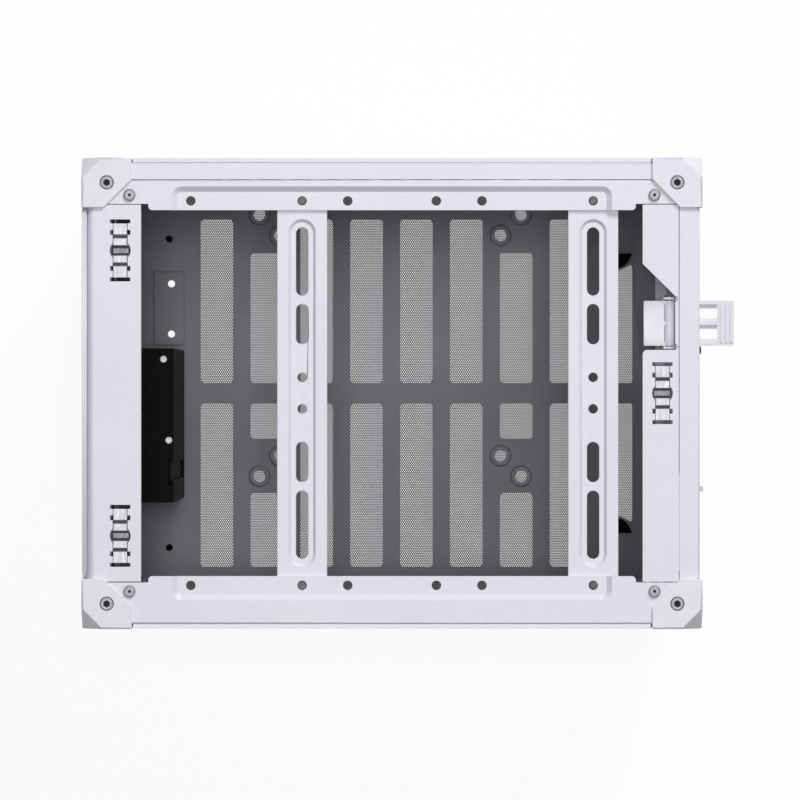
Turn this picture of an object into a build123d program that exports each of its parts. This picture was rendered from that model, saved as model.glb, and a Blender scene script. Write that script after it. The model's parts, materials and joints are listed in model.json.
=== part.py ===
from build123d import *
import os
from math import atan, ceil, degrees

os.makedirs("parts", exist_ok=True)

# A small tower computer case with its top cover off, in millimetres.
# +Z is up, the front faces -Y, the motherboard side is +X. The origin is on the ground,
# in the middle of the footprint, which counts the card latch behind the case.

# Overall sizes
case_width = 201.6  # over the corner blocks
case_depth = 265.4  # over the corner blocks
clear_height = 304.0  # from the floor panel up to the top flanges
foot_height = 12.5
latch_reach = 24.4  # how far the card latch stands out behind the corner blocks
sheet = 1.2  # folded steel
gap = 0.2  # between neighbouring sheets

# What lies near a side or an end takes its place from there, so that it follows it
half_width = case_width / 2
half_depth = case_depth / 2

# Frame
block_proud = 2.2  # how far the corner blocks stand out past the frame's webs
corner_size = 21.5
corner_proud = 1.5
corner_bevel = 12.0
corner_facet = 5.2  # from the corner's vertex in to the cut facet
corner_wall = 2.0  # metal behind the facet
corner_round = 0.8
web_height = 22.0
web_low = 5.2  # the low web under the rear panel
front_fold = 1.8  # inner radius of the wide fold along the front flange
fold_round = 0.8  # outer radius of the sharper folds

# Top flanges
side_flange = 22.6  # from the outer corner block face in to the side flange's edge
side_flange_end = 19.9  # the same at its two ends
side_flange_step = half_depth - 28.5  # half length of the wider part
side_flange_round = 1.7
joggle = 1.5  # how far the fan rails' seat is pressed down
joggle_slope = 2.3
joggle_inset = 12.4  # from the corner block face to the pressed edge
joggle_half = half_depth - 38.7
joggle_round = 4.0
seam_inset = 9.7  # from the corner block face to the seam on the open side
front_flange = 25.4  # from the front block face to the flange's inner edge
rear_flange = 25.6
rear_seam = 9.9
cutout_left = -55.3
cutout_corner = -41.6
cutout_right = -18.5
cutout_round = 2.0
cutout_edge = 11.7  # from the rear block face to the cut-out's straight edge
relief_radius = 1.3

# Screws of the top frame
corner_screw_inset = 10.8
corner_screw_head = 2.85
corner_screw_radius = 1.6
sink_depth = 1.0
flange_screw_x = half_width - 16.1
flange_screw_y = half_depth - 20.5
flange_screw_head = 2.55
flange_screw_radius = 1.2
screw_clearance = 0.1
flange_hole_radius = 2.0
flange_hole_x = half_width - 18.6

# Fan rails, as far apart as the holes of the larger fans
fan_patterns = (105.0, 124.5)
rear_rail_y = half_depth - 46.65
rail_y = (rear_rail_y - fan_patterns[1], rear_rail_y)
spare_hole = 19.5  # from the front rail's holes to the spare ones
flange_hole_y = (-rail_y[0] - spare_hole, -rail_y[0], rail_y[1])
rail_width = 21.4
rail_end = 5.0  # metal past the rail's screw
rail_lip = 5.0
rail_lip_half = half_width - 26.8
channel_width = 11.6
channel_half = half_width - 26.4
channel_depth = 1.1
slot_width = 5.2
short_slot = (20.9, 38.1)
long_slot = (41.75, channel_half - 3.5)
rail_hole_x = 6.75
rail_screw_radius = 1.7
rail_screw_head = 3.0

# Spring clips that the top cover's ball studs push into
clip_front_x = half_width - 39.8
clip_front_y = 16.5 - half_depth
clip_rear_y = half_depth - 17.1
clip_places = {
    "clip_front_left": (-clip_front_x, clip_front_y),
    "clip_front_right": (clip_front_x, clip_front_y),
    "clip_rear": (0.0, clip_rear_y),
}
clip_opening = 8.6
clip_neck = 6.3
clip_end = 13.2
clip_hook = 11.6
clip_notch = (6.7, 8.7)
clip_ring = 4.4
strap_width = 6.0
strap_thickness = 0.5
socket_width = 7.0
socket_depth = 7.0

# Floor panel
floor_lift = 4.0
lower_flange = 12.0
side_ledge = 6.0  # of the side beams, narrower so the dust filter fits between them
floor_margin = 1.4
strip_width = 15.64
strip_pitch = 23.75
strip_first = -91.2  # front edge of the first column of windows
strip_margin = 18.0  # metal behind the last one
strip_rows = (4.95, half_width - 18.1)
strip_round = 2.0
fan_centre_x = 78.1 - half_width
fan_centre_y = -0.85
short_columns = (1, 6)
short_end = half_width - 33.9
short_gap = (fan_centre_x + 44.3, fan_centre_x + 70.2)
boss_radius = 5.15
boss_hole = 2.8
boss_rise = 0.8
boss_taper = 35.0
floor_screw_x = half_width - 27.3
floor_screw_y = 26.6 - half_depth
floor_hole_radius = 1.7
pad_low = (-57.7, 19.4 - half_depth)
pad_high = (-23.0, 33.7 - half_depth)
pad_rise = 0.8
pad_hole_x = (-52.1, -28.2)
pad_hole_y = 27.7 - half_depth
bumper_x = half_width - 34.4
bumper_y = (half_depth - 39.1, half_depth - 18.3)
bumper_width = 7.1
bumper_tip = 1.2
bumper_height = 6.0
bumper_clearance = 8.1  # from its flat side to the last windows' ends
bumper_slant = (9.2, 3.2)  # those ends slant outwards behind this much of the window

# Dust filter
filter_thickness = 1.6
filter_rim = 2.6
filter_side = half_width - 9.0
filter_front = 36.7 - half_depth
filter_rear = half_depth - 15.1
filter_mesh = 0.4

# Drive cage
cage_left = -20.3
cage_right = 49.5
cage_inner = 33.8 - half_depth
cage_height = 148.0
cage_foot = 9.0
cage_holes = ((-15.4, cage_inner - 4.5), (21.3, cage_inner - 2.1))
cage_hole_radius = 1.6
cage_notch = (29.6, 41.6)
cage_slot = (31.3, 39.6)
drive_pattern = (61.72, 76.6)
drive_hole_radius = 1.75

# Motherboard tray
tray_x = half_width - 12.8
tray_front = 14.7 - half_depth
tray_rear = half_depth - 4.1
tray_top = 18.8  # below the top flanges
board_gap = 6.35
board_hole_rear = 12.27  # from the rear panel's inner face
board_columns = (0.0, 154.94, 227.33)
board_top = 245.0  # of the board's upper edge, over the floor
board_hole_top = 6.35
board_rows = (0.0, 157.48, 203.2)
fitted_standoffs = 2  # in each direction, the other places have bare holes
standoff_radius = 2.6
standoff_bore = 1.5
tray_hole_radius = 1.7
window_low = (half_depth - 164.7, 118.0)
window_high = (half_depth - 40.7, 226.0)
cable_slot = (50.0, 14.0)
cable_slot_y = 35.7 - half_depth
cable_slot_z = (60.0, 150.0, clear_height - 64.0)

# Rear panel
rear_sheet = 1.0
rear_side = half_width - 2.4
io_x = (half_width - 64.3, half_width - 19.85)
io_z = (91.0, 249.75)
vent_x = io_x[0] - 61.0
vent_z = 214.0
vent_radius = 55.0
vent_cell = 5.2
vent_pitch = 11.8
vent_screw_radius = 2.2
rear_foot = 5.2
loop_x = half_width - 56.4
loop_reach = 17.8
loop_height = 9.0
loop_hole = 2.6

# Expansion slots and their covers
slot_count = 4
slot_pitch = 20.32
slot_first = 18.5  # centre of the lowest slot, over the floor
slot_opening = 13.0
slot_x = (half_width - 130.3, half_width - 30.8)
cover_height = 18.4
cover_end = half_width - 24.8
cover_sheet = 0.9
tab_x = slot_x[0] - 4.5
tab_reach = 11.4
tab_slit = 0.5
rail_foot = 3.4
card_screw_radius = 1.6
card_screw_head = 3.0

# Card latch
latch_z = 104.0  # of its pin, over the floor
latch_pivot = half_depth - 5.2
latch_x = (tab_x - 8.4, tab_x + 12.2)
latch_inner = (half_depth - 17.1, half_depth - 9.8)
latch_plate = 1.5
latch_rib = 1.6
latch_rib_rise = 1.7
latch_window = (half_depth + 6.8, half_depth + 16.9)
latch_window_x = ((latch_x[0] + 3.6, latch_x[0] + 8.1), (latch_x[0] + 12.9, latch_x[0] + 17.4))
latch_hub = 2.6
latch_pin_radius = 1.5
pin_clearance = 0.06
latch_ear_gap = 0.4
latch_ear_radius = 3.4
latch_opening = (-7.0, 4.0)
latch_opening_side = 0.6
grip_ridges = (half_depth + 18.7, half_depth + 21.0, half_depth + 23.2)
ridge_width = 1.1
ridge_rise = 0.6
thumb_x = tab_x + 14.2
thumb_radius = 1.8
thumb_length = 10.5

# Power inlet
inlet_x = 30.8 - half_width
inlet_z = 136.0
inlet_size = (27.0, 20.0)
inlet_flange = (40.0, 28.0)
inlet_depth = 17.0

# Front panel and its controls
panel_sheet = 1.2
panel_hem = 8.0
panel_inset = 0.4
front_back = half_depth - 1.3  # from the case's middle to the front panel's back face
mesh_side = half_width - 16.8
mesh_low = 52.0
mesh_high = 22.0
mesh_columns = 8
mesh_rows = 12
mesh_bar = 2.4
io_web = 46.0
module_x = (18.8 - half_width, 74.8 - half_width)
module_z = (26.0, 42.0)
module_rear = 14.2 - half_depth
module_flange = 3.0
button_x = module_x[0] + 8.0
button_radius = 5.6
button_travel = 1.2
button_collar = 6.6
button_stem = 2.4
slide_clearance = 0.08
usb_a_x = module_x[0] + 37.5
usb_a_size = (13.2, 5.7)
usb_c_x = module_x[0] + 22.5
usb_c_size = (9.0, 3.3)
audio_x = module_x[0] + 50.5
audio_radius = 1.8
port_shell = 0.6
port_depth = 10.0

# Side panels
side_hem = 0.7
side_vent_rows = 2
side_vent_columns = 12
side_vent_slot = (5.0, 84.0)
side_vent_pitch = (14.0, 104.0)

# Feet
foot_radius = 8.0
foot_taper = 1.2
pad_radius = 6.5
pad_thickness = 2.0

# Worked out from the sizes above
frame_x = case_width / 2 - block_proud
frame_y = case_depth / 2 - block_proud
mid_y = -latch_reach / 2
base_z = foot_height + corner_proud
floor_bottom = base_z + floor_lift
floor_top = floor_bottom + sheet
top_z = floor_top + clear_height
cap_top = top_z + corner_proud
mid_z = (base_z + top_z) / 2
side_inner = case_width / 2 - side_flange
side_inner_end = case_width / 2 - side_flange_end
seam_x = case_width / 2 - seam_inset
front_inner = -(case_depth / 2 - front_flange)
rear_inner = case_depth / 2 - rear_flange
rear_seam_y = case_depth / 2 - rear_seam
end_half = side_inner_end - gap - 0.1
corner_screw_x = case_width / 2 - corner_screw_inset
corner_screw_y = case_depth / 2 - corner_screw_inset
rail_top = top_z - joggle - sheet
joggle_taper = degrees(atan(joggle_slope / joggle))


def level(z):
    # A horizontal plane at height z, centred on the case's body
    return Plane(origin=(0, mid_y, z))


def across(y):
    # An upright plane that faces the front, with X and the height as its axes
    return Plane(origin=(0, mid_y + y, 0), x_dir=(1, 0, 0), z_dir=(0, -1, 0))


def along(x):
    # An upright plane that faces +X, with Y and the height as its axes
    return Plane(origin=(x, mid_y, 0), x_dir=(0, 1, 0), z_dir=(1, 0, 0))


def corner_plane(side_x, side_y, side_z, depth):
    # The plane square to a corner's diagonal, this far inside the corner block's vertex
    normal = Vector(side_x, side_y, side_z).normalized()
    vertex = Vector(
        side_x * case_width / 2,
        mid_y + side_y * case_depth / 2,
        mid_z + side_z * (cap_top - mid_z),
    )
    return Plane(origin=vertex - normal * depth, z_dir=normal)


def rectangle_between(low_x, high_x, low_y, high_y, mode=Mode.ADD):
    # A rectangle given by its edges, in the open sketch
    with Locations(((low_x + high_x) / 2, (low_y + high_y) / 2)):
        Rectangle(high_x - low_x, high_y - low_y, mode=mode)


def fold_edges(part, axis, first, second):
    # Edges along the axis that pass through this place, measured square to it from the case's middle
    def lies_there(edge):
        place = edge.center()
        across_axis = place.X if axis == Axis.Y else place.Y - mid_y
        return abs(across_axis - first) < 0.01 and abs(place.Z - second) < 0.01

    return part.edges().filter_by(axis).filter_by(lies_there)


def trim_corners(corners):
    # Cut the open part back from the solid metal inside these corner blocks
    for side_x, side_y, side_z in corners:
        depth = corner_facet + corner_wall + gap
        split(bisect_by=corner_plane(side_x, side_y, side_z, depth), keep=Keep.BOTTOM)


def save(piece, label):
    # Name a finished piece and write its file
    piece.part.label = label
    export_step(piece.part, f"parts/{label}.step")


# Corner blocks: one casting, used at all eight corners. Three walls cap the frame, each
# bevelled where they meet it, and a facet cuts the vertex, with solid metal behind it.
with BuildPart() as frame_corner:
    with BuildSketch(level(top_z)):
        rectangle_between(0, frame_x, 0, frame_y)
    extrude(amount=-2 * corner_size)
    split(bisect_by=corner_plane(1, 1, 1, corner_facet + corner_wall), keep=Keep.BOTTOM)


def corner_block(with_screw):
    with BuildPart() as block:
        with BuildSketch(level(cap_top)):
            rectangle_between(
                case_width / 2 - corner_size, case_width / 2, case_depth / 2 - corner_size, case_depth / 2
            )
        extrude(amount=-corner_size)
        by_diagonal = block.edges().sort_by(lambda edge: sum(edge.center()))
        inner_edges = by_diagonal[:3]
        outer_edges = by_diagonal[-3:]
        fillet(outer_edges, corner_round)
        chamfer(inner_edges, corner_bevel)
        split(bisect_by=corner_plane(1, 1, 1, corner_facet), keep=Keep.BOTTOM)
        add(frame_corner.part, mode=Mode.SUBTRACT)
        if with_screw:
            with Locations(level(cap_top)):
                with Locations((corner_screw_x, corner_screw_y)):
                    CounterBoreHole(
                        corner_screw_radius + screw_clearance,
                        corner_screw_head + screw_clearance,
                        sink_depth,
                        depth=2 * corner_proud,
                    )
    return block


side_names = {-1: "left", 1: "right"}
end_names = {-1: "front", 1: "rear"}
height_names = {-1: "lower", 1: "upper"}
case_middle_y = Plane(origin=(0, mid_y, 0), x_dir=(1, 0, 0), z_dir=(0, 1, 0))

for side_z, height_name in height_names.items():
    first_block = corner_block(with_screw=side_z > 0)
    for side_x, side_name in side_names.items():
        for side_y, end_name in end_names.items():
            with BuildPart() as corner:
                add(first_block.part)
                if side_x < 0:
                    mirror(about=Plane.YZ, mode=Mode.REPLACE)
                if side_y < 0:
                    mirror(about=case_middle_y, mode=Mode.REPLACE)
                if side_z < 0:
                    mirror(about=level(mid_z), mode=Mode.REPLACE)
            save(corner, f"corner_{height_name}_{end_name}_{side_name}")

# Top side flanges: the inner zone is pressed down as a seat for the fan rails, with a sloped
# band round it. On the open side an outer rail lies beside the flange along a seam.
def top_side(side, outer_x, web, web_half):
    with BuildPart() as flange:
        with BuildSketch(level(top_z)) as outline:
            rectangle_between(side_inner_end, outer_x, -frame_y, frame_y)
            rectangle_between(side_inner, side_inner_end + 1, -side_flange_step, side_flange_step)
            fillet(outline.vertices().group_by(Axis.X)[0], side_flange_round)
        extrude(amount=-sheet)
        joggle_x = case_width / 2 - joggle_inset
        overshoot = side_inner - 3 * joggle_slope
        for grow, depth, mode in ((sheet * 1.5, joggle + sheet, Mode.ADD), (0, joggle, Mode.SUBTRACT)):
            with BuildSketch(level(top_z)) as seat:
                rectangle_between(overshoot, joggle_x + grow, -joggle_half - grow, joggle_half + grow)
                fillet(seat.vertices().group_by(Axis.X)[-1], joggle_round + grow)
            extrude(amount=-depth, taper=joggle_taper, mode=mode)
        with BuildSketch(level(top_z)):
            rectangle_between(0, side_inner, -frame_y, frame_y)
        extrude(amount=-(joggle + sheet), mode=Mode.SUBTRACT)
        with BuildSketch(level(top_z - web)):
            rectangle_between(outer_x - sheet, outer_x, -web_half, web_half)
        extrude(amount=web - sheet)
        fillet(fold_edges(flange, Axis.Y, outer_x, top_z), fold_round)
        with BuildSketch(level(top_z)):
            for hole_y in flange_hole_y:
                with Locations((flange_hole_x, hole_y), (flange_hole_x, -hole_y)):
                    Circle(flange_hole_radius)
            with Locations((corner_screw_x, corner_screw_y), (corner_screw_x, -corner_screw_y)):
                Circle(corner_screw_radius + screw_clearance)
            with Locations((flange_screw_x, flange_screw_y), (flange_screw_x, -flange_screw_y)):
                Circle(flange_screw_radius + screw_clearance)
        extrude(amount=-(joggle + sheet), mode=Mode.SUBTRACT)
        trim_corners(((1, 1, 1), (1, -1, 1)))
        if side < 0:
            mirror(about=Plane.YZ, mode=Mode.REPLACE)
    return flange


save(top_side(1, frame_x, web_height, frame_y), "top_flange_right")
save(top_side(-1, seam_x, web_height / 2, side_flange_step), "top_flange_left")

with BuildPart() as top_rail_left:
    with BuildSketch(level(top_z)):
        rectangle_between(-frame_x, -seam_x - gap, -frame_y, frame_y)
    extrude(amount=-sheet)
    with BuildSketch(level(top_z - web_height)):
        rectangle_between(-frame_x, -frame_x + sheet, -frame_y, frame_y)
    extrude(amount=web_height - sheet)
    fillet(fold_edges(top_rail_left, Axis.Y, -frame_x, top_z), fold_round)
    with BuildSketch(level(top_z)):
        with Locations((-corner_screw_x, corner_screw_y), (-corner_screw_x, -corner_screw_y)):
            Circle(corner_screw_radius + screw_clearance)
    extrude(amount=-sheet, mode=Mode.SUBTRACT)
    trim_corners(((-1, 1, 1), (-1, -1, 1)))
save(top_rail_left, "top_rail_left")


def clip_cutout(place):
    # The opening that a spring clip is threaded through, in the open sketch
    with Locations(place):
        Circle(clip_ring)
        Rectangle(2 * clip_end, clip_neck)
    for side in (-1, 1):
        with Locations((place[0] + side * (clip_hook + clip_end) / 2, place[1])):
            Rectangle(clip_end - clip_hook, clip_opening)
        with Locations((place[0] + side * sum(clip_notch) / 2, place[1])):
            Rectangle(clip_notch[1] - clip_notch[0], clip_opening)


with BuildPart() as top_front:
    with BuildSketch(level(top_z)):
        rectangle_between(-end_half, end_half, -frame_y, front_inner)
    extrude(amount=-sheet)
    with BuildSketch(level(top_z - web_height)):
        rectangle_between(-end_half, end_half, -frame_y, -frame_y + sheet)
    extrude(amount=web_height - sheet)
    fillet(fold_edges(top_front, Axis.X, -frame_y, top_z), front_fold + sheet)
    fillet(fold_edges(top_front, Axis.X, -frame_y + sheet, top_z - sheet), front_fold)
    with BuildSketch(level(top_z - rail_lip)):
        rectangle_between(-side_inner, side_inner, front_inner - sheet, front_inner)
    extrude(amount=rail_lip - sheet)
    with BuildSketch(level(top_z)):
        clip_cutout(clip_places["clip_front_left"])
        clip_cutout(clip_places["clip_front_right"])
    extrude(amount=-sheet, mode=Mode.SUBTRACT)
save(top_front, "top_flange_front")

with BuildPart() as top_rear:
    rear_straight = case_depth / 2 - cutout_edge
    with BuildSketch(level(top_z)):
        rectangle_between(-end_half, end_half, rear_inner, rear_seam_y - gap)
    extrude(amount=-sheet)
    with BuildSketch(level(top_z - web_height)):
        rectangle_between(-end_half, end_half, rear_seam_y - gap - sheet, rear_seam_y - gap)
    extrude(amount=web_height - sheet)
    with BuildSketch(level(top_z)) as rear_cuts:
        with BuildLine():
            Polyline(
                (cutout_left, rear_inner),
                (cutout_corner, rear_straight),
                (cutout_right, rear_straight),
                (cutout_right, rear_inner),
                (cutout_right, rear_inner - sheet),
                (cutout_left, rear_inner - sheet),
                close=True,
            )
        make_face()
        clip_cutout(clip_places["clip_rear"])
        with Locations(
            (cutout_corner + relief_radius, rear_straight), (cutout_right - relief_radius, rear_straight)
        ):
            Circle(relief_radius)
    extrude(amount=-sheet, mode=Mode.SUBTRACT)
    cutout_end = (cutout_right, mid_y + rear_inner, top_z - sheet / 2)
    fillet(top_rear.edges().filter_by(Axis.Z).sort_by_distance(cutout_end)[0], cutout_round)
save(top_rear, "top_flange_rear")


# Spring clips: a strap of spring steel threaded up and down through its opening, with a deep
# socket at the middle for the ball stud, and wings under the flange that hold it.
def spring_clip(place):
    half = strap_thickness / 2
    under = -sheet - half
    with BuildPart() as clip:
        strap_points = [
            (clip_notch[1] + half, under),
            (clip_hook - half, under),
            (clip_hook - half, -half),
            (clip_notch[0] + half, -half),
            (6.3, -2.2),
            (5.5, -2.2),
            (5.0, -half),
            (2.4, -half),
            (2.1, -socket_depth + 1.2),
            (1.3, -socket_depth),
        ]
        mirrored_points = [(-x, z) for x, z in reversed(strap_points)]
        with BuildSketch(across(place[1])):
            with BuildLine():
                Polyline([(place[0] + x, top_z + z) for x, z in strap_points + mirrored_points])
            trace(line_width=strap_thickness)
        extrude(amount=strap_width / 2, both=True)
        with BuildSketch(across(place[1])):
            with BuildLine():
                socket_points = strap_points[-3:] + mirrored_points[:3]
                Polyline([(place[0] + x, top_z + z) for x, z in socket_points])
            trace(line_width=strap_thickness)
        extrude(amount=socket_width / 2, both=True)
        with BuildSketch(level(top_z - sheet)):
            for side in (-1, 1):
                wing_middle = (clip_notch[1] + clip_hook) / 2
                with Locations((place[0] + side * wing_middle, place[1])):
                    Rectangle(clip_hook - clip_notch[1], clip_opening + 2)
        extrude(amount=-strap_thickness)
    return clip


for clip_name, clip_place in clip_places.items():
    save(spring_clip(clip_place), clip_name)


# Fan rails: a strip with a pressed channel, slotted for fan screws, and folded edges
def fan_rail(place_y):
    half_length = flange_hole_x + rail_end
    with BuildPart() as rail:
        with BuildSketch(level(rail_top)):
            rectangle_between(-half_length, half_length, place_y - rail_width / 2, place_y + rail_width / 2)
        extrude(amount=-sheet)
        for grow, depth, mode in ((sheet, channel_depth + sheet, Mode.ADD), (0, channel_depth, Mode.SUBTRACT)):
            with BuildSketch(level(rail_top)):
                with Locations((0, place_y)):
                    SlotOverall(2 * (channel_half + grow), channel_width + 2 * grow)
            extrude(amount=-depth, taper=45, mode=mode)
        with BuildSketch(level(rail_top - rail_lip)):
            for side in (-1, 1):
                with Locations((0, place_y + side * (rail_width - sheet) / 2)):
                    Rectangle(2 * rail_lip_half, sheet)
        extrude(amount=rail_lip - sheet)
        with BuildSketch(level(rail_top)):
            for side in (-1, 1):
                for slot in (short_slot, long_slot):
                    with Locations((side * sum(slot) / 2, place_y)):
                        SlotOverall(slot[1] - slot[0], slot_width)
                with Locations((side * rail_hole_x, place_y)):
                    Circle(flange_hole_radius)
                with Locations((side * flange_hole_x, place_y)):
                    Circle(rail_screw_radius + screw_clearance)
        extrude(amount=-(channel_depth + sheet), mode=Mode.SUBTRACT)
    return rail


save(fan_rail(rail_y[0]), "fan_rail_front")
save(fan_rail(rail_y[1]), "fan_rail_rear")


def screws(places, head_bottom, head_radius, head_height, shank_radius, shank_length):
    # Vertical screws, each a head and a shank under it
    with BuildPart() as group:
        with BuildSketch(level(head_bottom)):
            with Locations(places):
                Circle(head_radius)
        extrude(amount=head_height)
        with BuildSketch(level(head_bottom)):
            with Locations(places):
                Circle(shank_radius)
        extrude(amount=-shank_length)
    return group


four_sides = [(-1, -1), (-1, 1), (1, -1), (1, 1)]
corner_screw_places = [(x * corner_screw_x, y * corner_screw_y) for x, y in four_sides]
corner_screws = screws(
    corner_screw_places,
    cap_top - sink_depth,
    corner_screw_head,
    sink_depth + 0.2,
    corner_screw_radius,
    6.0,
)
save(corner_screws, "corner_screws")

flange_screw_places = [(x * flange_screw_x, y * flange_screw_y) for x, y in four_sides]
flange_screws = screws(
    flange_screw_places, top_z, flange_screw_head, corner_proud - 0.4, flange_screw_radius, 5.0
)
save(flange_screws, "flange_screws")

# Rail screws come up from below and end flush in the pressed seat
with BuildPart() as rail_screws:
    rail_screw_places = [(side * flange_hole_x, y) for side in (-1, 1) for y in rail_y]
    with BuildSketch(level(top_z - joggle)):
        with Locations(rail_screw_places):
            Circle(rail_screw_radius)
    extrude(amount=-2 * sheet)
    with BuildSketch(level(rail_top - sheet)):
        with Locations(rail_screw_places):
            Circle(rail_screw_head)
    extrude(amount=-2.0)
save(rail_screws, "rail_screws")


# Lower frame: angles that carry the floor panel
def lower_side(side):
    with BuildPart() as beam:
        with BuildSketch(level(base_z)):
            rectangle_between(frame_x - sheet, frame_x, -frame_y, frame_y)
        extrude(amount=web_height)
        with BuildSketch(level(floor_bottom - sheet)):
            rectangle_between(frame_x - side_ledge, frame_x - sheet, -frame_y, frame_y)
        extrude(amount=sheet)
        trim_corners(((1, 1, -1), (1, -1, -1)))
        if side < 0:
            mirror(about=Plane.YZ, mode=Mode.REPLACE)
    return beam


save(lower_side(-1), "lower_beam_left")
save(lower_side(1), "lower_beam_right")

lower_half = frame_x - sheet - lower_flange - gap

with BuildPart() as lower_front:
    with BuildSketch(level(base_z)):
        rectangle_between(-lower_half, lower_half, -frame_y, -frame_y + sheet)
    extrude(amount=io_web)
    with BuildSketch(level(floor_bottom - sheet)):
        rectangle_between(-lower_half, lower_half, -frame_y + sheet, -frame_y + lower_flange)
    extrude(amount=sheet)
    with BuildSketch(across(-frame_y)):
        rectangle_between(
            module_x[0] - gap, module_x[1] + gap, base_z + module_z[0] - gap, base_z + module_z[1] + gap
        )
    extrude(amount=-sheet, mode=Mode.SUBTRACT)
save(lower_front, "lower_beam_front")

with BuildPart() as lower_rear:
    with BuildSketch(level(base_z)):
        rectangle_between(-lower_half, lower_half, frame_y - sheet, frame_y)
    extrude(amount=web_low)
    with BuildSketch(level(floor_bottom - sheet)):
        rectangle_between(-lower_half, lower_half, frame_y - lower_flange, frame_y - sheet)
    extrude(amount=sheet)
save(lower_rear, "lower_beam_rear")


# Corner posts: upright angles inside the four corners
def corner_post(side_x, side_y):
    with BuildPart() as post:
        outer_x = frame_x - sheet
        with BuildSketch(level(floor_top)):
            rectangle_between(outer_x - lower_flange, outer_x, frame_y - sheet, frame_y)
            rectangle_between(outer_x - sheet, outer_x, frame_y - lower_flange, frame_y)
        extrude(amount=clear_height - sheet)
        trim_corners(((1, 1, 1),))
        if side_x < 0:
            mirror(about=Plane.YZ, mode=Mode.REPLACE)
        if side_y < 0:
            mirror(about=case_middle_y, mode=Mode.REPLACE)
    return post


for side_x, side_name in side_names.items():
    for side_y, end_name in end_names.items():
        save(corner_post(side_x, side_y), f"post_{end_name}_{side_name}")

# Floor panel: two rows of windows, with pressed bosses for fans of two sizes between them
with BuildPart() as floor_panel:
    floor_x = frame_x - floor_margin
    floor_y = frame_y - floor_margin
    with BuildSketch(level(floor_bottom)):
        Rectangle(2 * floor_x, 2 * floor_y)
    extrude(amount=sheet)
    with BuildSketch(level(floor_top)):
        rectangle_between(pad_low[0], pad_high[0], pad_low[1], pad_high[1])
    extrude(amount=pad_rise)
    with BuildSketch(level(floor_top)):
        for fan_pattern in fan_patterns:
            with Locations((fan_centre_x, fan_centre_y)):
                with GridLocations(fan_pattern, fan_pattern, 2, 2):
                    Circle(boss_radius)
    extrude(amount=boss_rise, taper=boss_taper)
    with BuildSketch(level(floor_bottom)):
        for fan_pattern in fan_patterns:
            with Locations((fan_centre_x, fan_centre_y)):
                with GridLocations(fan_pattern, fan_pattern, 2, 2):
                    Circle(boss_radius - sheet)
    extrude(amount=boss_rise, taper=boss_taper, mode=Mode.SUBTRACT)
    strip_spans = []
    strip_count = int((half_depth - strip_margin - strip_width - strip_first) / strip_pitch) + 1
    first_column = max(0, ceil((pad_high[1] + strip_pitch - strip_width - 1 - strip_first) / strip_pitch))
    for column in range(first_column, strip_count - 1):
        strip_y = strip_first + column * strip_pitch
        if column in short_columns:
            strip_spans.append((strip_y, -short_end, -strip_rows[0]))
            strip_spans.append((strip_y, strip_rows[0], short_gap[0]))
            strip_spans.append((strip_y, short_gap[1], strip_rows[1]))
        else:
            strip_spans.append((strip_y, -strip_rows[1], -strip_rows[0]))
            strip_spans.append((strip_y, strip_rows[0], strip_rows[1]))
    with BuildSketch(level(floor_top)) as last_windows:
        last_y = strip_first + (strip_count - 1) * strip_pitch
        last_end = bumper_x - bumper_clearance
        for side in (-1, 1):
            Polygon(
                (side * strip_rows[0], last_y),
                (side * last_end, last_y),
                (side * last_end, last_y + bumper_slant[0]),
                (side * (last_end + bumper_slant[1]), last_y + strip_width),
                (side * strip_rows[0], last_y + strip_width),
                align=None,
            )
        fillet(last_windows.vertices(), strip_round / 2)
    extrude(amount=-sheet, mode=Mode.SUBTRACT)
    with BuildSketch(level(floor_top + boss_rise)):
        for strip_y, low_x, high_x in strip_spans:
            with Locations(((low_x + high_x) / 2, strip_y + strip_width / 2)):
                RectangleRounded(high_x - low_x, strip_width, strip_round)
        for fan_pattern in fan_patterns:
            with Locations((fan_centre_x, fan_centre_y)):
                with GridLocations(fan_pattern, fan_pattern, 2, 2):
                    Circle(boss_hole)
        with Locations((-floor_screw_x, floor_screw_y), (floor_screw_x, floor_screw_y)):
            Circle(floor_hole_radius)
    extrude(amount=-(sheet + boss_rise), mode=Mode.SUBTRACT)
    with BuildSketch(level(floor_top + pad_rise)):
        with Locations([(x, pad_hole_y) for x in pad_hole_x]):
            Circle(floor_hole_radius)
    extrude(amount=-(sheet + pad_rise), mode=Mode.SUBTRACT)
save(floor_panel, "floor_panel")


# Floor bumpers: low rubber wedges at the rear of the floor, pointed at both ends
with BuildPart() as floor_bumpers:
    with BuildSketch(level(floor_top)) as bumper_outline:
        for side in (-1, 1):
            with BuildLine():
                flat_x = side * bumper_x
                Line((flat_x, bumper_y[0]), (flat_x, bumper_y[1]))
                ThreePointArc(
                    (flat_x, bumper_y[1]),
                    (flat_x - side * bumper_width, sum(bumper_y) / 2),
                    (flat_x, bumper_y[0]),
                )
            make_face()
        fillet(bumper_outline.vertices(), bumper_tip)
    extrude(amount=bumper_height)
    chamfer(floor_bumpers.faces().group_by(Axis.Z)[-1].edges(), 0.8)
save(floor_bumpers, "floor_bumpers")

# Dust filter under the floor
with BuildPart() as filter_frame:
    with BuildSketch(level(floor_bottom)):
        rectangle_between(-filter_side, filter_side, filter_front, filter_rear)
        rectangle_between(
            filter_rim - filter_side,
            filter_side - filter_rim,
            filter_front + filter_rim,
            filter_rear - filter_rim,
            mode=Mode.SUBTRACT,
        )
    extrude(amount=-filter_thickness)
save(filter_frame, "dust_filter_frame")

with BuildPart() as filter_mesh_sheet:
    with BuildSketch(level(floor_bottom - filter_thickness / 2)):
        rectangle_between(
            filter_rim - filter_side,
            filter_side - filter_rim,
            filter_front + filter_rim,
            filter_rear - filter_rim,
        )
    extrude(amount=-filter_mesh)
save(filter_mesh_sheet, "dust_filter_mesh")

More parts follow.
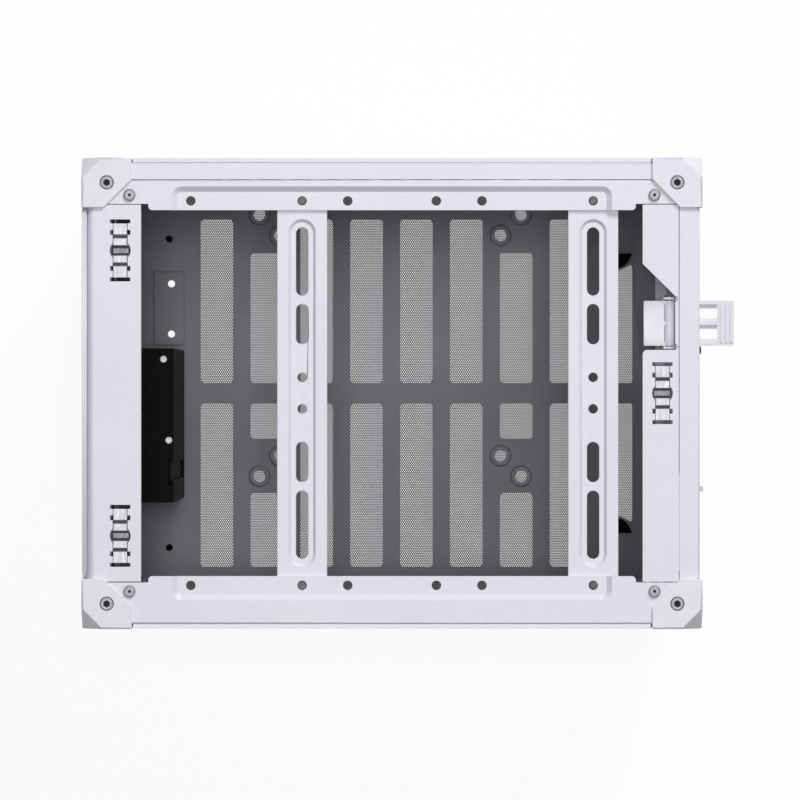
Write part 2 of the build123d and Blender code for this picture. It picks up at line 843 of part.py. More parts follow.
# Drive cage: a folded box open to the front, standing on the floor
with BuildPart() as drive_cage:
    cage_top = floor_top + cage_height
    cage_front = -frame_y + sheet + gap
    with BuildSketch(level(cage_top)):
        rectangle_between(cage_left, cage_right, cage_front, cage_inner)
        with Locations(cage_holes):
            Circle(cage_hole_radius, mode=Mode.SUBTRACT)
        rectangle_between(cage_notch[0], cage_notch[1], cage_front + cage_foot, cage_inner, mode=Mode.SUBTRACT)
    extrude(amount=-sheet)
    with BuildSketch(across(cage_inner)):
        rectangle_between(cage_left, cage_right, floor_top, cage_top)
        rectangle_between(
            cage_slot[0], cage_slot[1], floor_top + cage_foot, cage_top, mode=Mode.SUBTRACT
        )
        with Locations(((cage_left + cage_right) / 2, floor_top + cage_height / 2)):
            with GridLocations(drive_pattern[0], drive_pattern[1], 2, 2):
                Circle(drive_hole_radius, mode=Mode.SUBTRACT)
    extrude(amount=sheet)
    for wall_x in (cage_left, cage_right - sheet):
        with BuildSketch(along(wall_x)):
            rectangle_between(cage_front, cage_inner, floor_top, cage_top)
            with Locations(((cage_front + cage_inner) / 2, floor_top + cage_height / 2)):
                SlotOverall(cage_height * 0.7, cage_foot, rotation=90, mode=Mode.SUBTRACT)
        extrude(amount=sheet)
save(drive_cage, "drive_cage")

# Motherboard tray: an upright sheet whose top edge folds over to the right flange's web
standoff_places = []
bare_places = []
for column_number, column in enumerate(board_columns):
    for row_number, row in enumerate(board_rows):
        fitted = column_number < fitted_standoffs and row_number < fitted_standoffs
        places = standoff_places if fitted else bare_places
        places.append((frame_y - board_hole_rear - column, floor_top + board_top - board_hole_top - row))
with BuildPart() as tray:
    with BuildSketch(along(tray_x)):
        rectangle_between(tray_front, tray_rear, floor_top, top_z - tray_top)
        with BuildSketch(mode=Mode.SUBTRACT):
            rectangle_between(window_low[0], window_high[0], floor_top + window_low[1], floor_top + window_high[1])
        with Locations([(cable_slot_y, floor_top + z) for z in cable_slot_z]):
            SlotOverall(cable_slot[0], cable_slot[1], rotation=90, mode=Mode.SUBTRACT)
        with Locations(bare_places):
            Circle(tray_hole_radius, mode=Mode.SUBTRACT)
    extrude(amount=sheet)
    with BuildSketch(level(top_z - tray_top)):
        rectangle_between(tray_x, frame_x - sheet, tray_front, frame_y - lower_flange - gap)
    extrude(amount=-sheet)
save(tray, "motherboard_tray")

with BuildPart() as standoffs:
    with BuildSketch(along(tray_x)):
        with Locations(standoff_places):
            RegularPolygon(standoff_radius, 6)
        with Locations(standoff_places):
            Circle(standoff_bore, mode=Mode.SUBTRACT)
    extrude(amount=-board_gap)
save(standoffs, "board_standoffs")


def corner_notches(half_width):
    # Cut the corner blocks' bevelled outlines, with a gap, out of a panel's open sketch
    reach = corner_size + panel_inset
    short = corner_size - corner_bevel + panel_inset * (2**0.5 - 1)
    outline = [(-1, -1), (reach, -1), (reach, short), (short, reach), (-1, reach)]
    for side in (-1, 1):
        for outer_z, inward in ((base_z - corner_proud, 1), (cap_top, -1)):
            corner_points = [(side * (half_width - u), outer_z + inward * v) for u, v in outline]
            Polygon(*corner_points, align=None, mode=Mode.SUBTRACT)


# Rear panel, folded at the top into a flange and at the bottom into a foot on the floor
with BuildPart() as rear_panel:
    with BuildSketch(across(frame_y + rear_sheet)) as rear_face:
        rectangle_between(-rear_side, rear_side, base_z + panel_inset, top_z)
        corner_notches(case_width / 2)
        rectangle_between(io_x[0], io_x[1], floor_top + io_z[0], floor_top + io_z[1], mode=Mode.SUBTRACT)
        with Locations((vent_x, floor_top + vent_z)):
            with GridLocations(fan_patterns[0], fan_patterns[0], 2, 2):
                Circle(vent_screw_radius, mode=Mode.SUBTRACT)
        cell_rows = int(vent_radius // vent_pitch)
        row_rise = vent_pitch * 3**0.5 / 2
        for row in range(-cell_rows - 1, cell_rows + 2):
            for column in range(-cell_rows - 1, cell_rows + 2):
                cell_x = (column + (row % 2) / 2) * vent_pitch
                cell_z = row * row_rise
                if (cell_x**2 + cell_z**2) ** 0.5 < vent_radius - vent_cell:
                    with Locations((vent_x + cell_x, floor_top + vent_z + cell_z)):
                        RegularPolygon(vent_cell, 6, rotation=30, mode=Mode.SUBTRACT)
        for slot in range(slot_count):
            slot_z = floor_top + slot_first + slot * slot_pitch
            rectangle_between(
                slot_x[0], slot_x[1], slot_z - slot_opening / 2, slot_z + slot_opening / 2, mode=Mode.SUBTRACT
            )
            rectangle_between(
                tab_x - cover_sheet - tab_slit,
                tab_x + tab_slit,
                slot_z - cover_height / 2 - tab_slit,
                slot_z + cover_height / 2 + tab_slit,
                mode=Mode.SUBTRACT,
            )
        rectangle_between(
            latch_x[0] - latch_opening_side,
            latch_x[1] + latch_opening_side,
            floor_top + latch_z + latch_opening[0],
            floor_top + latch_z + latch_opening[1],
            mode=Mode.SUBTRACT,
        )
        with Locations((inlet_x, floor_top + inlet_z)):
            Rectangle(inlet_size[0] + 2 * gap, inlet_size[1] + 2 * gap, mode=Mode.SUBTRACT)
    extrude(amount=rear_sheet)
    with BuildSketch(level(top_z)):
        rectangle_between(-end_half, end_half, rear_seam_y, frame_y)
    extrude(amount=-sheet)
    fillet(fold_edges(rear_panel, Axis.X, frame_y + rear_sheet, top_z), fold_round)
    with BuildSketch(level(floor_top)):
        rectangle_between(-lower_half, lower_half, frame_y - rear_foot, frame_y)
    extrude(amount=rear_sheet)
    with BuildSketch(along(loop_x)):
        with BuildLine():
            loop_low = base_z + panel_inset
            loop_root = frame_y + rear_sheet / 2
            loop_tip = frame_y + loop_reach
            Polyline(
                (loop_root, loop_low),
                (loop_tip - loop_height / 2, loop_low),
                (loop_tip, loop_low + loop_height / 2),
                (loop_tip - loop_height / 2, loop_low + loop_height),
                (loop_root, loop_low + loop_height),
                close=True,
            )
        make_face()
        with Locations((loop_tip - loop_height / 2, loop_low + loop_height / 2)):
            Circle(loop_hole, mode=Mode.SUBTRACT)
    extrude(amount=2 * sheet)
save(rear_panel, "rear_panel")


# Slot covers: plates inside the rear panel, each with a tab that passes out through a slit
def slot_cover(slot):
    slot_z = floor_top + slot_first + slot * slot_pitch
    with BuildPart() as cover:
        with BuildSketch(across(frame_y)):
            rectangle_between(tab_x - cover_sheet, cover_end, slot_z - cover_height / 2, slot_z + cover_height / 2)
        extrude(amount=cover_sheet)
        with BuildSketch(along(tab_x)):
            tab_out = frame_y + rear_sheet + tab_reach
            rectangle_between(frame_y - cover_sheet, tab_out, slot_z - cover_height / 2, slot_z + cover_height / 2)
            with Locations((frame_y + rear_sheet + tab_reach / 2, slot_z)):
                Circle(card_screw_radius + screw_clearance, mode=Mode.SUBTRACT)
        extrude(amount=-cover_sheet)
    return cover


for slot in range(slot_count):
    save(slot_cover(slot), f"slot_cover_{slot + 1}")

# Card rail: an angle outside the rear panel that the covers' tabs are screwed to
with BuildPart() as card_rail:
    rail_low = floor_top + slot_first - cover_height / 2
    rail_high = rail_low + slot_pitch * (slot_count - 1) + cover_height
    rail_face = frame_y + rear_sheet
    with BuildSketch(along(tab_x)):
        rectangle_between(rail_face, rail_face + tab_reach, rail_low, rail_high)
        for slot in range(slot_count):
            with Locations((rail_face + tab_reach / 2, floor_top + slot_first + slot * slot_pitch)):
                Circle(card_screw_radius + screw_clearance, mode=Mode.SUBTRACT)
    extrude(amount=sheet)
    with BuildSketch(across(rail_face + rear_sheet)):
        rectangle_between(tab_x + tab_slit + gap, tab_x + rail_foot, rail_low, rail_high)
    extrude(amount=rear_sheet)
save(card_rail, "card_rail")

with BuildPart() as card_screws:
    card_places = [
        (rail_face + tab_reach / 2, floor_top + slot_first + slot * slot_pitch) for slot in range(slot_count)
    ]
    with BuildSketch(along(tab_x - cover_sheet)):
        with Locations(card_places):
            Circle(card_screw_head)
    extrude(amount=-2.0)
    with BuildSketch(along(tab_x - cover_sheet)):
        with Locations(card_places):
            Circle(card_screw_radius)
    extrude(amount=5.0)
save(card_screws, "card_screws")

# Card latch: a moulded lever on a pin, reaching in over the cards and out through the panel
pin_z = floor_top + latch_z
latch_tip = case_depth / 2 + latch_reach
with BuildPart() as latch:
    plate_low = pin_z - latch_plate
    with BuildSketch(level(plate_low)) as lever_plan:
        rectangle_between(latch_x[0], latch_x[1], latch_inner[0], latch_tip)
        fillet(lever_plan.vertices(), 0.6)
        for window in latch_window_x:
            rectangle_between(window[0], window[1], latch_window[0], latch_window[1], mode=Mode.SUBTRACT)
    extrude(amount=latch_plate)
    with BuildSketch(level(pin_z)) as inner_plate:
        rectangle_between(latch_x[0], latch_x[1], latch_inner[0], latch_inner[1])
        fillet(inner_plate.vertices(), 0.6)
    extrude(amount=latch_rib_rise)
    rib_places = (latch_x[0], (latch_x[0] + latch_x[1] - latch_rib) / 2, latch_x[1] - latch_rib)
    with BuildSketch(level(pin_z)):
        for rib_x in rib_places:
            rectangle_between(rib_x, rib_x + latch_rib, latch_inner[1], latch_window[1])
    extrude(amount=latch_rib_rise)
    with BuildSketch(level(pin_z)):
        for ridge_y in grip_ridges:
            rectangle_between(
                latch_x[0] + latch_rib, latch_x[1] - latch_rib, ridge_y - ridge_width / 2, ridge_y + ridge_width / 2
            )
    extrude(amount=ridge_rise)
    with BuildSketch(along(latch_x[0])):
        with Locations((latch_pivot, pin_z)):
            Circle(latch_hub)
    extrude(amount=latch_x[1] - latch_x[0])
    with BuildSketch(along(latch_x[0])):
        with Locations((latch_pivot, pin_z)):
            Circle(latch_pin_radius + pin_clearance)
    extrude(amount=latch_x[1] - latch_x[0], mode=Mode.SUBTRACT)
save(latch, "card_latch")

ear_left = latch_x[0] - latch_ear_gap
ear_right = latch_x[1] + latch_ear_gap
with BuildPart() as latch_pin:
    with BuildSketch(along(ear_left - sheet)):
        with Locations((latch_pivot, pin_z)):
            Circle(latch_pin_radius)
    extrude(amount=ear_right - ear_left + 2 * sheet)
    for head_x, head_side in ((ear_left - sheet, -1), (ear_right + sheet, 1)):
        with BuildSketch(along(head_x)):
            with Locations((latch_pivot, pin_z)):
                Circle(latch_pin_radius + 0.8)
        extrude(amount=head_side * 0.8)
save(latch_pin, "latch_pin")

with BuildPart() as latch_bracket:
    bracket_low = pin_z + latch_opening[1] + 1.0
    bracket_high = bracket_low + 10.0
    with BuildSketch(across(frame_y)):
        rectangle_between(ear_left - sheet, ear_right + sheet, bracket_low, bracket_high)
    extrude(amount=sheet)
    for ear_x in (ear_left - sheet, ear_right):
        with BuildSketch(along(ear_x)):
            rectangle_between(latch_pivot - latch_ear_radius, frame_y, pin_z, bracket_high)
            with Locations((latch_pivot, pin_z)):
                Circle(latch_ear_radius - 0.6)
            with Locations((latch_pivot, pin_z)):
                Circle(latch_pin_radius, mode=Mode.SUBTRACT)
        extrude(amount=sheet)
save(latch_bracket, "latch_bracket")

with BuildPart() as thumb_screw:
    with BuildSketch(across(rail_face)):
        with Locations((thumb_x, pin_z)):
            Circle(thumb_radius)
    extrude(amount=-thumb_length)
    chamfer(thumb_screw.edges().sort_by(Axis.Y)[-1], 0.4)
save(thumb_screw, "thumb_screw")

# Power inlet: a moulded socket, screwed in from outside
with BuildPart() as inlet:
    with BuildSketch(across(rail_face)):
        with Locations((inlet_x, floor_top + inlet_z)):
            Rectangle(inlet_flange[0], inlet_flange[1])
    extrude(amount=-2.5)
    fillet(inlet.edges().filter_by(Axis.Y), 3.0)
    with BuildSketch(across(rail_face)):
        with Locations((inlet_x, floor_top + inlet_z)):
            Rectangle(inlet_size[0], inlet_size[1])
    extrude(amount=inlet_depth)
    with BuildSketch(across(rail_face + 2.5)) as inlet_mouth:
        with Locations((inlet_x, floor_top + inlet_z)):
            Rectangle(inlet_size[0] - 3.0, inlet_size[1] - 4.0)
        chamfer(inlet_mouth.vertices().group_by(Axis.Y)[-1], 4.5)
    extrude(amount=inlet_depth - 2.0, mode=Mode.SUBTRACT)
    with BuildSketch(across(rail_face + 2.5)):
        for side in (-1, 1):
            with Locations((inlet_x + side * (inlet_flange[0] / 2 - 3.5), floor_top + inlet_z)):
                Circle(1.8)
    extrude(amount=2.5, mode=Mode.SUBTRACT)
save(inlet, "power_inlet")

# Front panel: a perforated plate with hemmed edges, and openings for the controls
module_mid_z = base_z + sum(module_z) / 2
front_side = case_width / 2 - panel_inset
with BuildPart() as front_panel:
    with BuildSketch(across(-front_back)):
        rectangle_between(-front_side, front_side, base_z + panel_inset, top_z - panel_inset)
        corner_notches(case_width / 2)
        step_x = 2 * mesh_side / mesh_columns
        step_z = (top_z - mesh_high - base_z - mesh_low) / mesh_rows
        with Locations((0, (base_z + mesh_low + top_z - mesh_high) / 2)):
            with GridLocations(step_x, step_z, mesh_columns, mesh_rows):
                Rectangle(step_x - mesh_bar, step_z - mesh_bar, mode=Mode.SUBTRACT)
        with Locations((button_x, module_mid_z)):
            Circle(button_radius + slide_clearance, mode=Mode.SUBTRACT)
        with Locations((usb_a_x, module_mid_z)):
            Rectangle(usb_a_size[0], usb_a_size[1], mode=Mode.SUBTRACT)
        with Locations((usb_c_x, module_mid_z)):
            SlotOverall(usb_c_size[0], usb_c_size[1], mode=Mode.SUBTRACT)
        with Locations((audio_x, module_mid_z)):
            Circle(audio_radius + port_shell, mode=Mode.SUBTRACT)
    extrude(amount=panel_sheet)
    with BuildSketch(across(-frame_y)):
        rectangle_between(-front_side, front_side, base_z + panel_inset, top_z - panel_inset)
        corner_notches(case_width / 2)
        rectangle_between(
            -mesh_side - mesh_bar,
            mesh_side + mesh_bar,
            base_z + panel_hem,
            top_z - panel_hem,
            mode=Mode.SUBTRACT,
        )
    extrude(amount=front_back - frame_y)
save(front_panel, "front_panel")

# Control module behind the front panel
with BuildPart() as io_module:
    module_front = -front_back + gap
    with BuildSketch(across(module_rear)):
        rectangle_between(module_x[0], module_x[1], base_z + module_z[0], base_z + module_z[1])
    extrude(amount=module_rear - module_front)
    with BuildSketch(across(-frame_y + sheet + 1.5)):
        rectangle_between(
            module_x[0] - module_flange,
            module_x[1] + module_flange,
            base_z + module_z[0] - module_flange,
            base_z + module_z[1] + module_flange,
        )
    extrude(amount=1.5)
    with BuildSketch(across(module_front)):
        with Locations((button_x, module_mid_z)):
            Circle(button_collar + 0.3)
    extrude(amount=-4.0, mode=Mode.SUBTRACT)
    with BuildSketch(across(module_front)):
        with Locations((button_x, module_mid_z)):
            Circle(button_stem + slide_clearance)
        with Locations((usb_a_x, module_mid_z)):
            Rectangle(usb_a_size[0], usb_a_size[1])
        with Locations((usb_c_x, module_mid_z)):
            SlotOverall(usb_c_size[0], usb_c_size[1])
        with Locations((audio_x, module_mid_z)):
            Circle(audio_radius + port_shell)
    extrude(amount=-port_depth, mode=Mode.SUBTRACT)
save(io_module, "io_module")

with BuildPart() as power_button:
    with BuildSketch(across(-front_back + gap + 1.2)):
        with Locations((button_x, module_mid_z)):
            Circle(button_collar)
    extrude(amount=1.2 - 0.1)
    with BuildSketch(across(-front_back)):
        with Locations((button_x, module_mid_z)):
            Circle(button_radius)
    extrude(amount=panel_sheet)
    with BuildSketch(across(-front_back + gap + 0.2)):
        with Locations((button_x, module_mid_z)):
            Circle(button_radius)
    extrude(amount=gap + 0.2)
    with BuildSketch(across(-front_back + gap)):
        with Locations((button_x, module_mid_z)):
            Circle(button_stem)
    extrude(amount=-7.0)
    chamfer(power_button.edges().sort_by(Axis.Y)[0], 0.3)
save(power_button, "power_button")

with BuildPart() as usb_a_port:
    with BuildSketch(across(-front_back + gap)):
        with Locations((usb_a_x, module_mid_z)):
            Rectangle(usb_a_size[0], usb_a_size[1])
            Rectangle(usb_a_size[0] - port_shell, usb_a_size[1] - port_shell, mode=Mode.SUBTRACT)
        with Locations((usb_a_x, module_mid_z + usb_a_size[1] / 4)):
            Rectangle(usb_a_size[0] - port_shell, 1.8)
    extrude(amount=-port_depth)
save(usb_a_port, "usb_a_port")

with BuildPart() as usb_c_port:
    with BuildSketch(across(-front_back + gap)):
        with Locations((usb_c_x, module_mid_z)):
            SlotOverall(usb_c_size[0], usb_c_size[1])
            SlotOverall(usb_c_size[0] - port_shell, usb_c_size[1] - port_shell, mode=Mode.SUBTRACT)
            Rectangle(usb_c_size[0] * 0.7, 0.7)
    extrude(amount=-port_depth)
    with BuildSketch(across(-front_back + gap + port_depth)):
        with Locations((usb_c_x, module_mid_z)):
            SlotOverall(usb_c_size[0], usb_c_size[1])
    extrude(amount=1.0)
save(usb_c_port, "usb_c_port")

with BuildPart() as audio_jack:
    with BuildSketch(across(-front_back + gap)):
        with Locations((audio_x, module_mid_z)):
            Circle(audio_radius + port_shell)
            Circle(audio_radius, mode=Mode.SUBTRACT)
    extrude(amount=-port_depth)
save(audio_jack, "audio_jack")


# Side panels: plates notched round the corner blocks, with hemmed edges on the frame's webs
def side_panel(side, vented):
    inner_x = frame_x + side_hem
    low_z = base_z + panel_inset
    high_z = top_z - panel_inset
    with BuildPart() as panel:
        for plane_x, thickness in ((inner_x, panel_sheet), (frame_x, side_hem)):
            with BuildSketch(along(plane_x)):
                rectangle_between(-frame_y + panel_inset, frame_y - panel_inset, low_z, high_z)
                corner_notches(case_depth / 2)
                if plane_x == frame_x:
                    rectangle_between(
                        -frame_y + panel_inset + panel_hem,
                        frame_y - panel_inset - panel_hem,
                        low_z + panel_hem,
                        high_z - panel_hem,
                        mode=Mode.SUBTRACT,
                    )
                elif vented:
                    with Locations((0, mid_z)):
                        with GridLocations(*side_vent_pitch, side_vent_columns, side_vent_rows):
                            SlotOverall(side_vent_slot[1], side_vent_slot[0], rotation=90, mode=Mode.SUBTRACT)
            extrude(amount=thickness)
        if side < 0:
            mirror(about=Plane.YZ, mode=Mode.REPLACE)
    return panel


save(side_panel(-1, vented=True), "side_panel_left")
save(side_panel(1, vented=False), "side_panel_right")

# Feet under the lower corner blocks, each with a rubber pad let into it
with BuildPart() as feet:
    for foot_x, foot_y in corner_screw_places:
        with Locations((foot_x, mid_y + foot_y, (foot_height + pad_thickness / 2) / 2)):
            Cone(foot_radius - foot_taper, foot_radius, foot_height - pad_thickness / 2)
    with BuildSketch(level(pad_thickness)):
        with Locations(corner_screw_places):
            Circle(pad_radius)
    extrude(amount=-pad_thickness, mode=Mode.SUBTRACT)
save(feet, "feet")

with BuildPart() as foot_pads:
    with BuildSketch(level(0)):
        with Locations(corner_screw_places):
            Circle(pad_radius)
    extrude(amount=pad_thickness)
save(foot_pads, "foot_pads")
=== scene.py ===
import json
import math
import bpy
import bmesh
import numpy as np
from mathutils import Matrix, Vector


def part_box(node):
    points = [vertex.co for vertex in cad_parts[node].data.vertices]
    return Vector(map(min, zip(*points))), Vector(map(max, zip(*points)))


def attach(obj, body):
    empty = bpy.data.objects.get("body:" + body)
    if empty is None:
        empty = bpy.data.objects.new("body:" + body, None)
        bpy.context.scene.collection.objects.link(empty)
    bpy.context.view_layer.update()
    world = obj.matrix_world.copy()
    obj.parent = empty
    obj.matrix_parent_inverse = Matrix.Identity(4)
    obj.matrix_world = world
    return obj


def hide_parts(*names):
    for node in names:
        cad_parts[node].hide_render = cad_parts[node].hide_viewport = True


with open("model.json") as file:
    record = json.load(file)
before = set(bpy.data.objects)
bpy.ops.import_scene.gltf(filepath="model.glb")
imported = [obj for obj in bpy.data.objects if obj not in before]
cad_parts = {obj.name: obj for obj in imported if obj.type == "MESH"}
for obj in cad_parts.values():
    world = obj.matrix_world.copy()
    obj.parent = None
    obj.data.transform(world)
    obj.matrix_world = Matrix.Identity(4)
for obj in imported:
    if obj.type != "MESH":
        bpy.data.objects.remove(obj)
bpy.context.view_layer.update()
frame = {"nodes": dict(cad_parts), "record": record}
nodes = frame["nodes"]
mm = 0.001
print("frame loaded:", len(nodes), "pieces")

# Places that several pieces share, in millimetres, as in the CAD
case = {
    "midY": -12.2,  # middle of the case without the latch's reach behind it
    "frameY": 130.5,  # from there to the frame's outer faces at the front and rear
    "floorTop": 19.2,
    "topZ": 323.2,
}


# Camera: far above the top frame, looking straight down, the case's rear to the right
cameraView = {"height": 2660.0, "lens": 280.1, "sensor": 36, "shift": (0.01, -0.0085), "reach": 20}
cameraData = bpy.data.cameras.new("topCamera")
cameraData.lens = cameraView["lens"]
cameraData.sensor_width = cameraView["sensor"]
cameraData.shift_x, cameraData.shift_y = cameraView["shift"]
cameraData.clip_end = cameraView["reach"]
camera = bpy.data.objects.new("topCamera", cameraData)
camera.location = (0, case["midY"] * mm, (case["topZ"] + cameraView["height"]) * mm)
camera.rotation_euler = (0, 0, math.pi / 2)
bpy.context.scene.collection.objects.link(camera)
bpy.context.scene.camera = camera
bpy.context.scene.view_settings.view_transform = "Standard"


def linear(hexColour):
    # sRGB hex to linear red, green, blue, alpha
    parts = [int(hexColour[i:i + 2], 16) / 255 for i in (1, 3, 5)]
    return tuple(c / 12.92 if c <= 0.04045 else ((c + 0.055) / 1.055) ** 2.4 for c in parts) + (1.0,)


def addNode(tree, kind, settings=None, inputs=None):
    # One node with its settings, and its inputs as values or as the sockets they come from
    node = tree.nodes.new(kind)
    for key, value in (settings or {}).items():
        setattr(node, key, value)
    for key, value in (inputs or {}).items():
        if isinstance(value, bpy.types.NodeSocket):
            tree.links.new(value, node.inputs[key])
        else:
            node.inputs[key].default_value = value
    return node


def newFinish(name):
    # A material with its output, a shader and coordinates in metres
    finish = bpy.data.materials.new(name)
    finish.use_nodes = True
    tree = finish.node_tree
    tree.nodes.clear()
    place = addNode(tree, "ShaderNodeTexCoord").outputs["Object"]
    shader = addNode(tree, "ShaderNodeBsdfPrincipled")
    addNode(tree, "ShaderNodeOutputMaterial", inputs={"Surface": shader.outputs[0]})
    return finish, tree, place, shader


def perMetre(size):
    # Noise scale for a feature of this many millimetres
    return 1000.0 / size


def powderCoat(name, spec):
    # Baked polyester powder on metal: a satin skin with a faint orange peel, a slight cloudiness
    # that keeps wide panels from looking like flat card, and fine darker flecks
    finish, tree, place, shader = newFinish(name)
    peel = addNode(tree, "ShaderNodeTexNoise", inputs={
        "Vector": place, "Scale": perMetre(spec["peel"]), "Detail": 3.0, "Roughness": 0.55})
    cloud = addNode(tree, "ShaderNodeTexNoise", inputs={
        "Vector": place, "Scale": perMetre(spec["cloud"]), "Detail": 2.0})
    grit = addNode(tree, "ShaderNodeTexVoronoi", inputs={
        "Vector": place, "Scale": perMetre(spec["grit"])})
    tone = addNode(tree, "ShaderNodeMapRange", inputs={
        "Value": cloud.outputs[0], "From Min": 0.3, "From Max": 0.7, "To Min": 0.0, "To Max": 1.0})
    colour = addNode(tree, "ShaderNodeMix", {"data_type": "RGBA"}, {
        0: tone.outputs[0], 6: linear(spec["colour"]), 7: linear(spec["shade"])})
    speck = addNode(tree, "ShaderNodeMapRange", inputs={
        "Value": grit.outputs["Distance"], "From Min": 0.0, "From Max": 0.6,
        "To Min": spec["speck"], "To Max": 0.0})
    flecked = addNode(tree, "ShaderNodeMix", {"data_type": "RGBA"}, {
        0: speck.outputs[0], 6: colour.outputs[2], 7: linear(spec["fleck"])})
    tree.links.new(flecked.outputs[2], shader.inputs["Base Color"])
    gloss = addNode(tree, "ShaderNodeMapRange", inputs={
        "Value": peel.outputs[0], "From Min": 0.3, "From Max": 0.7,
        "To Min": spec["roughness"] - 0.04, "To Max": spec["roughness"] + 0.05})
    tree.links.new(gloss.outputs[0], shader.inputs["Roughness"])
    skin = addNode(tree, "ShaderNodeBump", inputs={
        "Height": peel.outputs[0], "Strength": 0.5, "Distance": spec["peelHeight"] * mm})
    tree.links.new(skin.outputs[0], shader.inputs["Normal"])
    shader.inputs["IOR"].default_value = 1.5
    shader.inputs["Specular IOR Level"].default_value = spec.get("specular", 0.5)
    return finish


def platedMetal(name, spec):
    # Plated or plain metal: cloudy crystals, with fine lines where it was drawn or turned
    finish, tree, place, shader = newFinish(name)
    stretch = addNode(tree, "ShaderNodeMapping", inputs={
        "Vector": place, "Scale": tuple(perMetre(s) for s in spec["lines"])})
    lines = addNode(tree, "ShaderNodeTexNoise", inputs={
        "Vector": stretch.outputs[0], "Scale": 1.0, "Detail": 3.0})
    crystals = addNode(tree, "ShaderNodeTexNoise", inputs={
        "Vector": place, "Scale": perMetre(spec["crystal"]), "Detail": 4.0})
    colour = addNode(tree, "ShaderNodeMix", {"data_type": "RGBA"}, {
        0: crystals.outputs[0], 6: linear(spec["colour"]), 7: linear(spec["shade"])})
    if "paintedShade" in spec:
        # painted shade darkens what lies in a socket or a dip, from the second height to the first
        low, high, shadeColour = spec["paintedShade"]
        height = addNode(tree, "ShaderNodeSeparateXYZ", inputs={0: place}).outputs[2]
        depth = addNode(tree, "ShaderNodeMapRange", inputs={
            "Value": height, "From Min": low * mm, "From Max": high * mm})
        colour = addNode(tree, "ShaderNodeMix", {"data_type": "RGBA"}, {
            0: depth.outputs[0], 6: linear(shadeColour), 7: colour.outputs[2]})
    tree.links.new(colour.outputs[2], shader.inputs["Base Color"])
    gloss = addNode(tree, "ShaderNodeMapRange", inputs={
        "Value": lines.outputs[0], "From Min": 0.3, "From Max": 0.7,
        "To Min": spec["roughness"] - 0.07, "To Max": spec["roughness"] + 0.08})
    tree.links.new(gloss.outputs[0], shader.inputs["Roughness"])
    grain = addNode(tree, "ShaderNodeBump", inputs={
        "Height": lines.outputs[0], "Strength": 0.35, "Distance": spec["lineHeight"] * mm})
    tree.links.new(grain.outputs[0], shader.inputs["Normal"])
    shader.inputs["Metallic"].default_value = spec.get("metallic", 1.0)
    return finish


def mouldedPlastic(name, spec):
    # Moulded plastic or rubber: spark-eroded grain that breaks up the gloss, and faint flow marks
    finish, tree, place, shader = newFinish(name)
    grain = addNode(tree, "ShaderNodeTexVoronoi", {"feature": "SMOOTH_F1"}, {
        "Vector": place, "Scale": perMetre(spec["grain"])})
    flow = addNode(tree, "ShaderNodeTexNoise", inputs={
        "Vector": place, "Scale": perMetre(spec["flow"]), "Detail": 2.0})
    colour = addNode(tree, "ShaderNodeMix", {"data_type": "RGBA"}, {
        0: flow.outputs[0], 6: linear(spec["colour"]), 7: linear(spec["shade"])})
    tree.links.new(colour.outputs[2], shader.inputs["Base Color"])
    gloss = addNode(tree, "ShaderNodeMapRange", inputs={
        "Value": flow.outputs[0], "From Min": 0.3, "From Max": 0.7,
        "To Min": spec["roughness"] - 0.05, "To Max": spec["roughness"] + 0.05})
    tree.links.new(gloss.outputs[0], shader.inputs["Roughness"])
    skin = addNode(tree, "ShaderNodeBump", inputs={
        "Height": grain.outputs["Distance"], "Strength": 0.4, "Distance": spec["grainHeight"] * mm})
    tree.links.new(skin.outputs[0], shader.inputs["Normal"])
    shader.inputs["IOR"].default_value = spec["ior"]
    shader.inputs["Specular IOR Level"].default_value = spec.get("specular", 0.5)
    return finish


